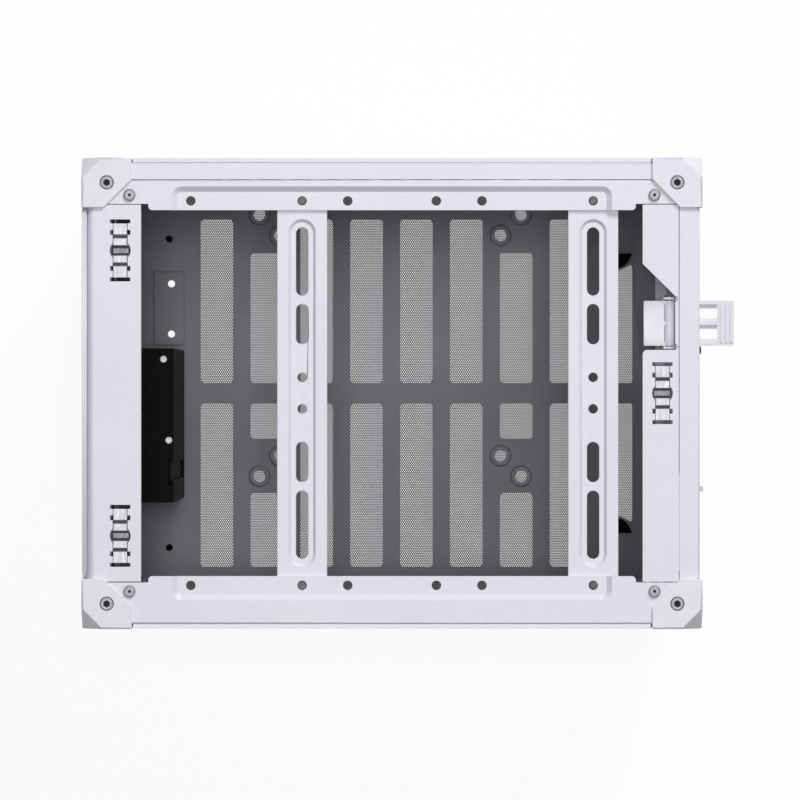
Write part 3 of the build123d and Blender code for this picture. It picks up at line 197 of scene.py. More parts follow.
# Sizes are in millimetres. The real patterns are too fine to show, so they are drawn coarser:
# orange peel at 1 mm is twice its real size, and plating crystals and moulding grain about ten
# times theirs. The first names are the record's slots, the others are for single pieces.
finishes = {
    # Satin powder on die castings: softly glossy, so the corner blocks' bevels catch the light
    "white_casting": powderCoat("satinPowderOnCasting", {
        "colour": "#DDDCE4", "shade": "#D9D8E1", "fleck": "#CCCBD5", "peel": 1.2, "cloud": 45.0,
        "grit": 0.8, "speck": 0.10, "roughness": 0.42, "peelHeight": 0.035}),
    # Satin powder on folded steel: a calm white with a breath of lilac and wide soft highlights
    "white_paint": powderCoat("satinPowderOnSteel", {
        "colour": "#D9D8E1", "shade": "#D5D4DE", "fleck": "#C8C7D2", "peel": 1.0, "cloud": 70.0,
        "grit": 0.7, "speck": 0.08, "roughness": 0.40, "peelHeight": 0.022}),
    # Textured powder on the floor plate: a duller grey with visible grit, which sinks back
    "dark_paint": powderCoat("greyPowderOnFloor", {
        "colour": "#7C7B81", "shade": "#75747A", "fleck": "#636266", "peel": 1.1, "cloud": 40.0,
        "grit": 0.9, "speck": 0.18, "roughness": 0.52, "peelHeight": 0.03}),
    # Matt powder on the drive cage: black with next to no gloss, so its edges only just show
    "black_paint": powderCoat("blackPowderOnCage", {
        "colour": "#0C0C0D", "shade": "#09090A", "fleck": "#151517", "peel": 0.9, "cloud": 30.0,
        "grit": 0.8, "speck": 0.25, "roughness": 0.6, "peelHeight": 0.04, "specular": 0.07}),
    # Moulded ABS of the latch and the button: the paint's white, with a closer, softer sheen
    "white_plastic": mouldedPlastic("whiteAbsMoulding", {
        "colour": "#D9D8DE", "shade": "#D5D4DB", "grain": 0.9, "flow": 25.0, "roughness": 0.46,
        "grainHeight": 0.02, "ior": 1.46}),
    # Moulded nylon of the inlet and the control module: satin black, its edges faintly grey
    "black_plastic": mouldedPlastic("blackNylonMoulding", {
        "colour": "#1D1D1F", "shade": "#18181A", "grain": 0.8, "flow": 20.0, "roughness": 0.48,
        "grainHeight": 0.03, "ior": 1.5}),
    # Moulded rubber: the deepest black, with no highlight
    "rubber": mouldedPlastic("blackRubberMoulding", {
        "colour": "#080809", "shade": "#060606", "grain": 1.2, "flow": 15.0, "roughness": 0.85,
        "grainHeight": 0.05, "ior": 1.52, "specular": 0.08}),
    # Moulded ABS of the feet: a smooth silver grey with a clear soft highlight
    "foot_plastic": mouldedPlastic("silverGreyAbsFoot", {
        "colour": "#CFCED5", "shade": "#C9C8D0", "grain": 0.8, "flow": 20.0, "roughness": 0.36,
        "grainHeight": 0.015, "ior": 1.46}),
    # Punched PVC sheet of the dust filter: a matt violet grey that greys the light in its holes
    "filter_cloth": mouldedPlastic("greyPvcFilterSheet", {
        "colour": "#5D5A6B", "shade": "#575465", "grain": 0.6, "flow": 12.0, "roughness": 0.6,
        "grainHeight": 0.02, "ior": 1.53}),
    # Nickel-plated spring strip: bright where it bows up, with painted shade that dims it where it dips into
    # its opening
    "spring_steel": platedMetal("nickelSpringSteel", {
        "colour": "#A8A7AE", "shade": "#A09FA6", "crystal": 6.0, "lines": (5.0, 0.6, 0.6),
        "roughness": 0.44, "lineHeight": 0.003, "metallic": 0.5,
        "paintedShade": (316.6, 322.3, "#7E7E86")}),
    # Clear zinc plate of the card screws and port shells: a cool, slightly cloudy grey metal
    "zinc": platedMetal("clearZincPlate", {
        "colour": "#707075", "shade": "#616166", "crystal": 1.4, "lines": (1.0, 1.0, 1.0),
        "roughness": 0.45, "lineHeight": 0.012}),
    # Clear zinc plate of the top screws: pale faces, with painted shade darkening the sockets and rims
    "corner_zinc": platedMetal("clearZincOnCornerScrews", {
        "colour": "#7C7C81", "shade": "#6E6E73", "crystal": 1.4, "lines": (1.0, 1.0, 1.0),
        "roughness": 0.45, "lineHeight": 0.012, "paintedShade": (324.1, 324.85, "#1B1B1D")}),
    # The same on the lower heads beside them, with painted shade in their sockets and rims
    "flange_zinc": platedMetal("clearZincOnFlangeScrews", {
        "colour": "#7C7C81", "shade": "#6E6E73", "crystal": 1.4, "lines": (1.0, 1.0, 1.0),
        "roughness": 0.45, "lineHeight": 0.012, "paintedShade": (323.5, 324.25, "#1B1B1D")}),
    # Zinc plate of the rail screws, seen end on in the seat: given a darker colour than the heads
    "dull_zinc": platedMetal("dullZincOnRailScrews", {
        "colour": "#545458", "shade": "#48484C", "crystal": 1.4, "lines": (1.0, 1.0, 1.0),
        "roughness": 0.5, "lineHeight": 0.012}),
    # Black oxide of the threaded inserts: dark discs that stop short of black
    "black_oxide": platedMetal("blackOxideOnInserts", {
        "colour": "#424246", "shade": "#3A3A3E", "crystal": 1.4, "lines": (1.0, 1.0, 1.0),
        "roughness": 0.6, "lineHeight": 0.012}),
    # Bright zinc plate of the cage's screws: pale dots on the black box
    "bright_zinc": platedMetal("brightZincPlate", {
        "colour": "#B6B5BA", "shade": "#AAA9AF", "crystal": 1.4, "lines": (1.0, 1.0, 1.0),
        "roughness": 0.42, "lineHeight": 0.01, "metallic": 0.6}),
    # Turned brass of the board's standoffs: warm and shiny, with fine turning lines
    "brass": platedMetal("turnedBrass", {
        "colour": "#D2AE62", "shade": "#C29C50", "crystal": 2.0, "lines": (0.25, 5.0, 5.0),
        "roughness": 0.26, "lineHeight": 0.01}),
}
print("finishes made:", len(finishes))


# Pieces carried over from the CAD: a finish for each, and softened edges. Their loose triangles
# are joined and their flat faces merged first, so that only real edges are rounded.
softEdges = {
    "sheet": {"width": 0.22, "segments": 2},  # folded or punched
    "joggled": {"width": 0.15, "segments": 2},
    "necked": {"width": 0.08, "segments": 1},  # with narrow necks beside relief holes
    "casting": {"width": 0.35, "segments": 3},
    "moulding": {"width": 0.18, "segments": 2},
}
edgePrep = {"joinReach": 0.004, "flatAngle": 0.5, "edgeAngle": 38}
edgeKinds = {
    "joggled": ["top_flange_left", "top_flange_right"],
    "necked": ["top_flange_rear"],
    "casting": [name for name in nodes if name.startswith("corner_") and name != "corner_screws"],
    "moulding": ["power_button", "io_module", "power_inlet", "feet", "floor_bumpers"],
    "plain": ["dust_filter_mesh", "audio_jack", "usb_c_port", "usb_a_port", "latch_pin", "card_latch"],
}
kindOfNode = {name: kind for kind, names in edgeKinds.items() for name in names}
slotOfNode = {part["node"]: part["material_slot"] for part in frame["record"]["subparts"]}
for name, node in nodes.items():
    node.data.materials.clear()
    node.data.materials.append(finishes[slotOfNode[name]])
    kind = kindOfNode.get(name, "sheet")
    if kind == "plain":
        continue
    weld = node.modifiers.new("joinTriangles", "WELD")
    weld.merge_threshold = edgePrep["joinReach"] * mm
    flat = node.modifiers.new("joinFaces", "DECIMATE")
    flat.decimate_type = "DISSOLVE"
    flat.angle_limit = math.radians(edgePrep["flatAngle"])
    bevel = node.modifiers.new("softEdges", "BEVEL")
    bevel.width = softEdges[kind]["width"] * mm
    bevel.segments = softEdges[kind]["segments"]
    bevel.limit_method = "ANGLE"
    bevel.angle_limit = math.radians(edgePrep["edgeAngle"])
    bevel.use_clamp_overlap = False
    bevel.harden_normals = True
nodes["rail_screws"].data.materials[0] = finishes["dull_zinc"]
print("carried-over pieces finished")


def dress(piece, slot, finish=None, replaced=None):
    # Give a new piece of the case the finish named, or else the finish of its record slot, attach it to the
    # case, and hide the node it stands for
    piece.data.materials.clear()
    piece.data.materials.append(finishes[finish or slot])
    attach(piece, "case")
    if replaced:
        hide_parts(replaced)
    return piece


def linked(name, mesh):
    # An object at the origin for a finished mesh
    piece = bpy.data.objects.new(name, mesh)
    bpy.context.scene.collection.objects.link(piece)
    return piece


def meshPiece(name, vertices, faces):
    # A flat-shaded piece from arrays: vertices in metres, faces as a list of arrays
    mesh = bpy.data.meshes.new(name)
    loops = np.concatenate([group.ravel() for group in faces]).astype(np.int32)
    counts = np.concatenate([np.full(len(group), group.shape[1]) for group in faces]).astype(np.int32)
    starts = np.concatenate([[0], np.cumsum(counts)[:-1]]).astype(np.int32)
    mesh.vertices.add(len(vertices))
    mesh.vertices.foreach_set("co", np.asarray(vertices, dtype=np.float32).ravel())
    mesh.loops.add(len(loops))
    mesh.loops.foreach_set("vertex_index", loops)
    mesh.polygons.add(len(counts))
    mesh.polygons.foreach_set("loop_start", starts)
    mesh.polygons.foreach_set("loop_total", counts)
    mesh.update(calc_edges=True)
    mesh.polygons.foreach_set("use_smooth", np.full(len(counts), False))
    mesh.validate()
    return linked(name, mesh)


def closeSeams(mesh, reach):
    # Merge points closer than this many millimetres and turn the faces outwards
    net = bmesh.new()
    net.from_mesh(mesh)
    bmesh.ops.remove_doubles(net, verts=net.verts, dist=reach * mm)
    bmesh.ops.recalc_face_normals(net, faces=net.faces)
    net.to_mesh(mesh)
    net.free()


def placed(points, origin, u, v, w):
    # Points on the u, v, w axes from an origin, all in millimetres, to metres in the frame
    axes = np.array([u, v, w], dtype=float)
    return (np.array(origin, dtype=float) + points @ axes) * mm


def perforated(width, height, pitch, rowPitch, holeRadius, thickness):
    # A sheet from 0,0 to width,height in rows of cells. A cell is a rectangle with points at its
    # corners and at the middles of its long edges, and a six-sided hole; every other row is moved
    # half a cell, so those points meet. Odd rows end in plain half cells. With a thickness the
    # same net is laid again behind, and each hole gets a wall.
    columns = round(width / pitch)
    rows = round(height / rowPitch)
    w, h = width / columns, height / rows
    angles = np.radians([210, 270, 330, 30, 90, 150])
    rim = np.array([[0, 0], [w / 2, 0], [w, 0], [w, h], [w / 2, h], [0, h]])
    hole = np.stack([w / 2 + holeRadius * np.cos(angles), h / 2 + holeRadius * np.sin(angles)], axis=1)
    evenX, evenY = np.meshgrid(np.arange(columns) * w, np.arange(0, rows, 2) * h)
    oddX, oddY = np.meshgrid((np.arange(columns - 1) + 0.5) * w, np.arange(1, rows, 2) * h)
    origins = np.concatenate([
        np.stack([evenX.ravel(), evenY.ravel()], axis=1),
        np.stack([oddX.ravel(), oddY.ravel()], axis=1)])
    cells = origins[:, None, :] + np.concatenate([rim, hole])[None, :, :]
    halfRows = np.arange(1, rows, 2) * h
    halfShape = np.array([[0, 0], [w / 2, 0], [w / 2, h], [0, h]])
    halfOrigins = np.concatenate([
        np.stack([np.zeros_like(halfRows), halfRows], axis=1),
        np.stack([np.full_like(halfRows, width - w / 2), halfRows], axis=1)])
    halves = halfOrigins[:, None, :] + halfShape[None, :, :]
    flat = np.concatenate([cells.reshape(-1, 2), halves.reshape(-1, 2)])
    nearPoints = np.round(flat / (0.02 * holeRadius))
    index, inverse = np.unique(nearPoints, axis=0, return_index=True, return_inverse=True)[1:]
    inverse = inverse.ravel()
    points = flat[index]
    k = np.arange(6)
    ring = np.stack([k, (k + 1) % 6, 6 + (k + 1) % 6, 6 + k], axis=1)
    base = np.arange(len(origins))[:, None, None] * 12
    faces = inverse[(base + ring[None]).reshape(-1, 4)]
    halfFaces = inverse[12 * len(origins) + np.arange(4 * len(halfOrigins)).reshape(-1, 4)]
    net = np.concatenate([faces, halfFaces])
    front = np.concatenate([points, np.zeros((len(points), 1))], axis=1)
    if not thickness:
        return front, net
    back = front - [0, 0, thickness]
    wall = np.stack([6 + k, 6 + (k + 1) % 6, 6 + (k + 1) % 6, 6 + k], axis=1)
    walls = inverse[(base + wall[None]).reshape(-1, 4)]
    walls[:, 2:] += len(points)
    behind = net[:, ::-1] + len(points)
    return np.concatenate([front, back]), np.concatenate([net, behind, walls])


def flatPlate(name, outlines, thickness, edge):
    # A plate from closed outlines, the first round its rim and the others round its openings.
    # It lies in the XY plane, centred on it, and its rims are rounded by the edge size.
    curve = bpy.data.curves.new(name, "CURVE")
    curve.dimensions = "2D"
    curve.fill_mode = "BOTH"
    curve.extrude = (thickness / 2 - edge) * mm
    curve.bevel_depth = edge * mm
    curve.bevel_resolution = 1
    curve.offset = -edge * mm
    for outline in outlines:
        count = len(outline)
        spline = curve.splines.new("POLY")
        spline.points.add(count - 1)
        flat = np.asarray(outline, dtype=float) * mm
        flat = np.concatenate([flat, np.zeros((count, 1)), np.ones((count, 1))], axis=1)
        spline.points.foreach_set("co", flat.ravel())
        spline.use_cyclic_u = True
    holder = linked(name, curve)
    bpy.context.view_layer.update()
    evaluated = holder.evaluated_get(bpy.context.evaluated_depsgraph_get())
    mesh = bpy.data.meshes.new_from_object(evaluated)
    bpy.data.objects.remove(holder)
    closeSeams(mesh, 0.002)
    return linked(name, mesh)


def standUp(plate, middleY):
    # Stand a flat plate facing the front, its middle at this Y: X stays and Y goes up
    turn = Matrix(((1, 0, 0, 0), (0, 0, -1, middleY * mm), (0, 1, 0, 0), (0, 0, 0, 1)))
    plate.data.transform(turn)
    return plate


def ringOutline(centre, radiusX, radiusY, power, count):
    # A closed outline: a circle or slot as the curve |x/a|^p + |y/b|^p = 1
    turn = np.linspace(0, 2 * np.pi, count, endpoint=False)
    c, s = np.cos(turn), np.sin(turn)
    return np.stack([
        centre[0] + radiusX * np.sign(c) * np.abs(c) ** (2 / power),
        centre[1] + radiusY * np.sign(s) * np.abs(s) ** (2 / power)], axis=1)


def rectOutline(x0, x1, z0, z1):
    return [(x0, z0), (x1, z0), (x1, z1), (x0, z1)]


# Dust filter: one punched sheet under the floor's windows, in strips across the case
filterSheet = {"pitch": 0.97, "rowPitch": 0.81, "holeRadius": 0.29, "strips": 3}
low, high = (np.array(corner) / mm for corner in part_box("dust_filter_mesh"))
filterZ = (low[2] + high[2]) / 2
stripWidth = (high[0] - low[0]) / filterSheet["strips"]
stripRows = 2 * round(stripWidth / filterSheet["rowPitch"] / 2)
for strip in range(filterSheet["strips"]):
    points, faces = perforated(
        high[1] - low[1], stripWidth, filterSheet["pitch"], stripWidth / stripRows,
        filterSheet["holeRadius"], 0)
    origin = (low[0] + (strip + 1) * stripWidth, low[1], filterZ)
    vertices = placed(points, origin, (0, 1, 0), (-1, 0, 0), (0, 0, 1))
    sheet = meshPiece(f"filterSheet{strip + 1}", vertices, [faces])
    dress(sheet, "filter_cloth", replaced="dust_filter_mesh")
print("filter sheet made")


# Floor bumpers: wedges of rubber with a flat outer side and a bowed inner one, bow * (1 - |t|^p)
# for t from -1 to 1 along them. Each ring is the outline moved by its inset towards the heart, a
# point at this share of the bow.
bumpers = {
    "flat": 66.4, "front": 99.6, "rear": 114.1, "bow": 6.7, "power": 2.8, "heart": 0.45, "steps": 33,
    "rings": [(0, 0), (0, 5.1), (0.3, 5.7), (1.0, 6.0)],  # inset and height over the floor
}
t = np.linspace(-1, 1, bumpers["steps"])
along = (bumpers["front"] + bumpers["rear"]) / 2 + (bumpers["rear"] - bumpers["front"]) / 2 * t
flatSide = np.stack([np.full(len(t), bumpers["flat"]), along], axis=1)
bowSide = flatSide - np.outer(bumpers["bow"] * (1 - np.abs(t) ** bumpers["power"]), (1, 0))
outline = np.concatenate([flatSide, bowSide[-2:0:-1]])
inward = np.array([bumpers["flat"] - bumpers["bow"] * bumpers["heart"], along.mean()]) - outline
inward = inward / np.linalg.norm(inward, axis=1, keepdims=True)
count = len(outline)
levels = len(bumpers["rings"])
k = np.arange(count)
vertices, faces = [], []
for side in (-1, 1):
    first = len(vertices) * count
    for inset, height in bumpers["rings"]:
        ring = outline + inward * inset
        ringZ = np.full(count, case["floorTop"] + height)
        vertices.append(np.stack([side * ring[:, 0], case["midY"] + ring[:, 1], ringZ], axis=1))
    for level in range(levels - 1):
        quad = np.stack([k, (k + 1) % count, (k + 1) % count + count, k + count], axis=1)
        faces.append((quad + first + level * count)[:, ::side])
    faces.append((k + first + (levels - 1) * count)[None, ::side])
dress(meshPiece("floorBumpers", np.concatenate(vertices) * mm, faces), "rubber", replaced="floor_bumpers")
print("floor bumpers made")


# Cage tab: a folded strip that closes the drive cage's notch and the slot below it, a sheet's
# thickness behind each. Its section runs level to a quarter-turn fold, then straight down.
cageTab = {
    "x": (28.6, 42.6), "front": -121.6, "inner": -100.25, "low": 27.0, "high": 165.95,
    "sheet": 1.1, "fold": 1.6, "foldSteps": 7, "edge": 0.2, "edgeAngle": 50,
}


def foldArc(radius):
    # Points of the fold at this radius, from the level part down to the upright one
    turn = np.radians(np.linspace(90, 0, cageTab["foldSteps"]))
    middle = np.array([cageTab["inner"] - cageTab["fold"], cageTab["high"] - cageTab["fold"]])
    return middle + radius * np.stack([np.cos(turn), np.sin(turn)], axis=1)


outside = np.concatenate([
    [(cageTab["front"], cageTab["high"])], foldArc(cageTab["fold"]), [(cageTab["inner"], cageTab["low"])]])
inside = np.concatenate([
    [(cageTab["front"], cageTab["high"] - cageTab["sheet"])], foldArc(cageTab["fold"] - cageTab["sheet"]),
    [(cageTab["inner"] - cageTab["sheet"], cageTab["low"])]])
section = np.concatenate([outside, inside[::-1]])
count = len(section)
vertices = np.concatenate([
    np.stack([np.full(count, x), case["midY"] + section[:, 0], section[:, 1]], axis=1) for x in cageTab["x"]])
k = np.arange(count)
walls = np.stack([k, (k + 1) % count, (k + 1) % count + count, k + count], axis=1)
k = np.arange(len(outside) - 1)
ends = np.stack([k, k + 1, count - 2 - k, count - 1 - k], axis=1)
tab = meshPiece("cageTab", vertices * mm, [walls, ends[:, ::-1], ends + count])
bevel = tab.modifiers.new("softEdges", "BEVEL")
bevel.width = cageTab["edge"] * mm
bevel.segments = 2
bevel.angle_limit = math.radians(cageTab["edgeAngle"])
bevel.limit_method = "ANGLE"
dress(tab, "black_paint")
print("cage tab made")


# Front panel: a plate with the controls' openings, its perforated field, and the hem behind it
frontPanel = {
    "back": 131.4, "sheet": 1.2, "side": 100.4, "low": 14.4, "high": 322.8, "edge": 0.2,
    "meshSide": 84.0, "meshLow": 66.0, "meshHigh": 301.2, "pitch": 3.6, "holeRadius": 1.42,
    "hemSide": 86.4, "hemLow": 22.0, "hemHigh": 315.2, "hemEdge": 0.1,
    "blockSide": 100.8, "blockLow": 12.5, "blockHigh": 324.7, "notch": 21.9, "notchShort": 9.666,
}
controls = {
    "z": 48.0, "button": {"x": -74.0, "radius": 5.68}, "audio": {"x": -31.5, "radius": 2.4},
    "usbA": {"x": -44.5, "width": 13.2, "height": 5.7, "power": 12},
    "usbC": {"x": -59.5, "width": 9.0, "height": 3.3, "power": 3.4},
}


def panelRim():
    # The panel's outline, clear of the corner blocks: at each corner the block's four points,
    # kept within the panel's own edges
    reach, short = frontPanel["notch"], frontPanel["notchShort"]
    corner = [(reach, 0), (reach, short), (short, reach), (0, reach)]
    points = []
    for side, lift, order in ((-1, 1, -1), (1, 1, 1), (1, -1, -1), (-1, -1, 1)):
        start = frontPanel["blockLow"] if lift > 0 else frontPanel["blockHigh"]
        points += [(side * (frontPanel["blockSide"] - u), start + lift * v) for u, v in corner[::order]]
    return np.clip(points, (-frontPanel["side"], frontPanel["low"]), (frontPanel["side"], frontPanel["high"]))


def portOutline(port):
    return ringOutline((port["x"], controls["z"]), port["width"] / 2, port["height"] / 2, port["power"], 48)


def roundOutline(part, count):
    return ringOutline((part["x"], controls["z"]), part["radius"], part["radius"], 2, count)


meshSide, meshLow, meshHigh = frontPanel["meshSide"], frontPanel["meshLow"], frontPanel["meshHigh"]
plate = flatPlate("frontPlate", [
    panelRim(), rectOutline(-meshSide, meshSide, meshLow, meshHigh), roundOutline(controls["button"], 64),
    portOutline(controls["usbA"]), portOutline(controls["usbC"]), roundOutline(controls["audio"], 40),
], frontPanel["sheet"], frontPanel["edge"])
standUp(plate, case["midY"] - frontPanel["back"] - frontPanel["sheet"] / 2)
dress(plate, "white_paint", replaced="front_panel")

rowCount = 2 * round((meshHigh - meshLow) / (frontPanel["pitch"] * 0.866) / 2)
points, faces = perforated(
    2 * meshSide, meshHigh - meshLow, frontPanel["pitch"], (meshHigh - meshLow) / rowCount,
    frontPanel["holeRadius"], frontPanel["sheet"])
origin = (-meshSide, case["midY"] - frontPanel["back"] - frontPanel["sheet"], meshLow)
vertices = placed(points, origin, (1, 0, 0), (0, 0, 1), (0, -1, 0))
dress(meshPiece("frontMesh", vertices, [faces]), "white_paint", replaced="front_panel")

hemDepth = frontPanel["back"] - case["frameY"]
hemOpening = rectOutline(
    -frontPanel["hemSide"], frontPanel["hemSide"], frontPanel["hemLow"], frontPanel["hemHigh"])
hem = flatPlate("frontHem", [panelRim(), hemOpening], hemDepth, frontPanel["hemEdge"])
standUp(hem, case["midY"] - case["frameY"] - hemDepth / 2)
dress(hem, "white_paint", replaced="front_panel")
print("front panel made")


def screwSet(name, spec):
    # Screws as rings round an axis, each ring a radius, a height and a hex share that bends it
    # from a circle to a hexagon: socket floor, socket wall and its chamfer, face, rounded rim,
    # underside, shank. Sizes are in millimetres from the middle of the face.
    steps = 48
    flatToCorner = math.cos(math.radians(30))
    turn = np.linspace(0, 2 * np.pi, steps, endpoint=False)
    hexagon = flatToCorner / np.cos(np.mod(turn, np.pi / 3) - np.pi / 6)
    r, s, deep, soft = spec["head"], spec["socket"], spec["deep"], spec["round"]
    under, end = -spec["height"], -spec["height"] - spec["length"]
    rings = np.array([
        (0.001, -deep, 1), (s * 0.96, -deep, 1), (s, -deep + 0.1, 1), (s, -0.14, 1),
        (s + 0.12, -0.02, 1), (s + 0.25, 0, 0.5), (r - soft * 1.5, 0, 0), (r - soft * 0.6, -soft * 0.18, 0),
        (r - soft * 0.15, -soft * 0.6, 0), (r, -soft * 1.3, 0), (r, under, 0),
        (spec["shank"], under, 0), (spec["shank"], end, 0), (0.001, end, 0)])
    radius, depth, share = rings[:, 0:1], rings[:, 1:2], rings[:, 2:3]
    ringRadius = radius * ((1 - share) + share * hexagon[None, :] / flatToCorner)
    depth = depth + 0 * ringRadius
    shape = np.stack([ringRadius * np.cos(turn), ringRadius * np.sin(turn), depth], axis=2).reshape(-1, 3)
    i, j = np.meshgrid(np.arange(len(rings) - 1), np.arange(steps), indexing="ij")
    here, below, following = i * steps, (i + 1) * steps, (j + 1) % steps
    quads = np.stack([here + j, below + j, below + following, here + following], axis=2).reshape(-1, 4)
    vertices = np.concatenate([placed(shape, place, *spec["axes"]) for place in spec["places"]])
    faces = [quads + n * len(shape) for n in range(len(spec["places"]))]
    piece = meshPiece(name, vertices, faces)
    closeSeams(piece.data, 0.003)
    return piece


def mirrored(x, ys, top):
    # Places on both sides of the middle, at these distances behind it
    return [(side * x, case["midY"] + y, top) for side in (-1, 1) for y in ys]


upwards = ((1, 0, 0), (0, 1, 0), (0, 0, 1))
backwards = ((0, 1, 0), (0, 0, 1), (-1, 0, 0))
cardSlots = {"x": -36.9, "y": 137.2, "low": 37.7, "pitch": 20.32, "count": 4}
screws = {
    "cornerScrewHeads": {
        "head": 2.85, "socket": 1.25, "deep": 0.9, "height": 1.2, "round": 0.35, "shank": 1.6, "length": 6.0,
        "axes": upwards, "places": mirrored(90.0, (-121.9, 121.9), 324.9),
        "slot": "zinc", "finish": "corner_zinc", "replaced": "corner_screws"},
    "flangeScrewHeads": {
        "head": 2.55, "socket": 0.5, "deep": 0.9, "height": 1.1, "round": 0.45, "shank": 1.2, "length": 5.0,
        "axes": upwards, "places": mirrored(84.7, (-112.2, 112.2), 324.3),
        "slot": "zinc", "finish": "flange_zinc", "replaced": "flange_screws"},
    "flangeInserts": {  # a little below the pressed seat, in the side flanges' open holes
        "head": 1.96, "socket": 0.1, "deep": 0.15, "height": 0.8, "round": 0.1, "shank": 1.2, "length": 1.5,
        "axes": upwards, "places": mirrored(82.2, (-86.05, -18.95, 18.95, 38.45), 321.25),
        "slot": "zinc", "finish": "black_oxide"},
    "cageScrews": {
        "head": 1.6, "socket": 0.6, "deep": 0.7, "height": 0.9, "round": 0.25, "shank": 1.1, "length": 3.0,
        "axes": upwards, "places": [
            (-15.4, case["midY"] - 103.4, 167.35), (21.3, case["midY"] - 101.0, 167.35)],
        "slot": "zinc", "finish": "bright_zinc"},
    "floorScrews": {
        "head": 1.68, "socket": 0.7, "deep": 0.6, "height": 1.0, "round": 0.3, "shank": 1.2, "length": 3.0,
        "axes": upwards, "places": mirrored(73.5, (-106.1,), 19.1),
        "slot": "black_plastic", "finish": "rubber"},
    "cardScrewHeads": {
        "head": 3.0, "socket": 1.3, "deep": 1.2, "height": 2.0, "round": 0.5, "shank": 1.6, "length": 4.0,
        "axes": backwards, "places": [
            (cardSlots["x"], case["midY"] + cardSlots["y"], cardSlots["low"] + n * cardSlots["pitch"])
            for n in range(cardSlots["count"])],
        "slot": "zinc", "finish": "zinc", "replaced": "card_screws"},
}
for name, spec in screws.items():
    dress(screwSet(name, spec), spec["slot"], spec["finish"], spec.get("replaced"))
print("screws made")


def seenWhite(tree):
    # 1 for the rays that see the white background: the camera's, and those off or through the case
    rays = addNode(tree, "ShaderNodeLightPath").outputs
    seen = addNode(tree, "ShaderNodeMath", {"operation": "MAXIMUM"}, {
        0: rays["Is Camera Ray"], 1: rays["Is Glossy Ray"]})
    seen = addNode(tree, "ShaderNodeMath", {"operation": "MAXIMUM"}, {
        0: seen.outputs[0], 1: rays["Is Transmission Ray"]})
    return seen.outputs[0]


# Stage: a pale floor just under the feet that keeps the case's shadow, and a white world
studio = {
    "floorReach": 6.0, "floorDrop": 0.4, "floorGlow": 0.92, "floorColour": (0.92, 0.92, 0.92, 1),
    "ambient": 0.20, "white": (1, 1, 1, 1), "middle": Vector((0, case["midY"] * mm, 0.3)),
}
reach, floorZ = studio["floorReach"], -studio["floorDrop"] * mm
corners = [(-reach, -reach, floorZ), (reach, -reach, floorZ), (reach, reach, floorZ), (-reach, reach, floorZ)]
floorMesh = bpy.data.meshes.new("studioFloor")
floorMesh.from_pydata(corners, [], [(0, 1, 2, 3)])
floorFinish = bpy.data.materials.new("studioFloor")
floorFinish.use_nodes = True
tree = floorFinish.node_tree
tree.nodes.clear()
share = addNode(tree, "ShaderNodeMath", {"operation": "MULTIPLY"}, {
    0: seenWhite(tree), 1: studio["floorGlow"]})
matt = addNode(tree, "ShaderNodeBsdfDiffuse", inputs={"Color": studio["floorColour"]})
glow = addNode(tree, "ShaderNodeEmission", inputs={"Color": studio["white"], "Strength": 1.0})
mixed = addNode(tree, "ShaderNodeMixShader", inputs={
    0: share.outputs[0], 1: matt.outputs[0], 2: glow.outputs[0]})
addNode(tree, "ShaderNodeOutputMaterial", inputs={"Surface": mixed.outputs[0]})
floorMesh.materials.append(floorFinish)
linked("studioFloor", floorMesh)

world = bpy.data.worlds.new("studio")
bpy.context.scene.world = world
world.use_nodes = True
tree = world.node_tree
tree.nodes.clear()
soft = addNode(tree, "ShaderNodeBackground", inputs={"Color": studio["white"], "Strength": studio["ambient"]})
white = addNode(tree, "ShaderNodeBackground", inputs={"Color": studio["white"], "Strength": 1.0})
mixed = addNode(tree, "ShaderNodeMixShader", inputs={
    0: seenWhite(tree), 1: soft.outputs[0], 2: white.outputs[0]})
addNode(tree, "ShaderNodeOutputWorld", inputs={"Surface": mixed.outputs[0]})


def hangLamp(name, lamp, target, away, distance, receivers=()):
    # A lamp at a distance from its target along a direction, facing it; with receivers it lights
    # those objects alone
    holder = linked(name, lamp)
    holder.location = target + away * distance
    holder.rotation_euler = away.to_track_quat("Z", "Y").to_euler()
    if receivers:
        lit = bpy.data.collections.new(name + "Receivers")
        for piece in receivers:
            lit.objects.link(piece)
        holder.light_linking.receiver_collection = lit


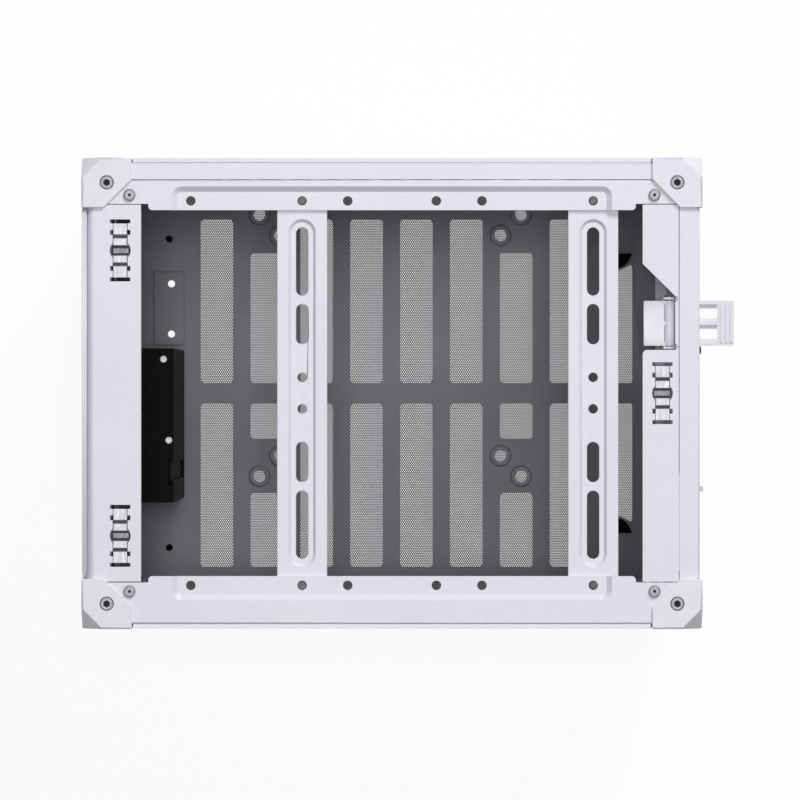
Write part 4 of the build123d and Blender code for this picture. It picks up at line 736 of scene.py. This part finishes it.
# Softboxes: tilt from straight overhead and turn from the open side (-X) towards the rear (+Y),
# in degrees; distance and size in metres; share of the light on a level surface
softboxes = {
    "keyPanel": {"tilt": 52, "turn": 24, "distance": 2.4, "size": 0.9, "share": 0.46},
    "downPanel": {"tilt": 1, "turn": 0, "distance": 3.3, "size": 0.35, "share": 0.29},
}
for name, spec in softboxes.items():
    tilt, turn = math.radians(spec["tilt"]), math.radians(spec["turn"])
    away = Vector((-math.sin(tilt) * math.cos(turn), math.sin(tilt) * math.sin(turn), math.cos(tilt)))
    lamp = bpy.data.lights.new(name, "AREA")
    lamp.size = spec["size"]
    lamp.energy = spec["share"] * math.pi ** 2 * spec["distance"] ** 2 / math.cos(tilt)
    hangLamp(name, lamp, studio["middle"], away, spec["distance"])

# A narrow spot along the camera's line, kept to the latch, which lies deep under the rear cutout
latchBeam = {
    "target": (-32.0, 110.0, 123.0), "distance": 1.6, "angle": 1.25, "blend": 0.12, "radius": 0.01,
    "share": 0.57, "receivers": ["card_latch", "latch_bracket", "latch_pin"],
}
beam = bpy.data.lights.new("latchBeam", "SPOT")
beam.spot_size = math.radians(latchBeam["angle"])
beam.spot_blend = latchBeam["blend"]
beam.shadow_soft_size = latchBeam["radius"]
beam.energy = latchBeam["share"] * 4 * math.pi ** 2 * latchBeam["distance"] ** 2
target = Vector(latchBeam["target"]) * mm
away = (camera.location - target).normalized()
latchPieces = [nodes[name] for name in latchBeam["receivers"]]
hangLamp("latchBeam", beam, target, away, latchBeam["distance"], latchPieces)

# Low fill for the outer panels that face away from the key, kept off the top frame and the inside
sideFill = {
    "place": (2.2, -1.9, 1.0), "size": 1.6, "share": 0.42,
    "receivers": [
        "side_panel_right", "feet", "foot_pads", "power_button", "audio_jack", "usb_a_port", "usb_c_port",
        "io_module", "corner_lower_front_left", "corner_lower_front_right", "corner_lower_rear_right",
        "frontPlate", "frontMesh", "frontHem"],
}
fill = bpy.data.lights.new("sideFill", "AREA")
fill.size = sideFill["size"]
away = Vector(sideFill["place"]) - studio["middle"]
distance = away.length
fill.energy = sideFill["share"] * math.pi ** 2 * distance ** 2
outerPieces = [nodes.get(name) or bpy.data.objects[name] for name in sideFill["receivers"]]
hangLamp("sideFill", fill, studio["middle"], away.normalized(), distance, outerPieces)
print("stage and light set")
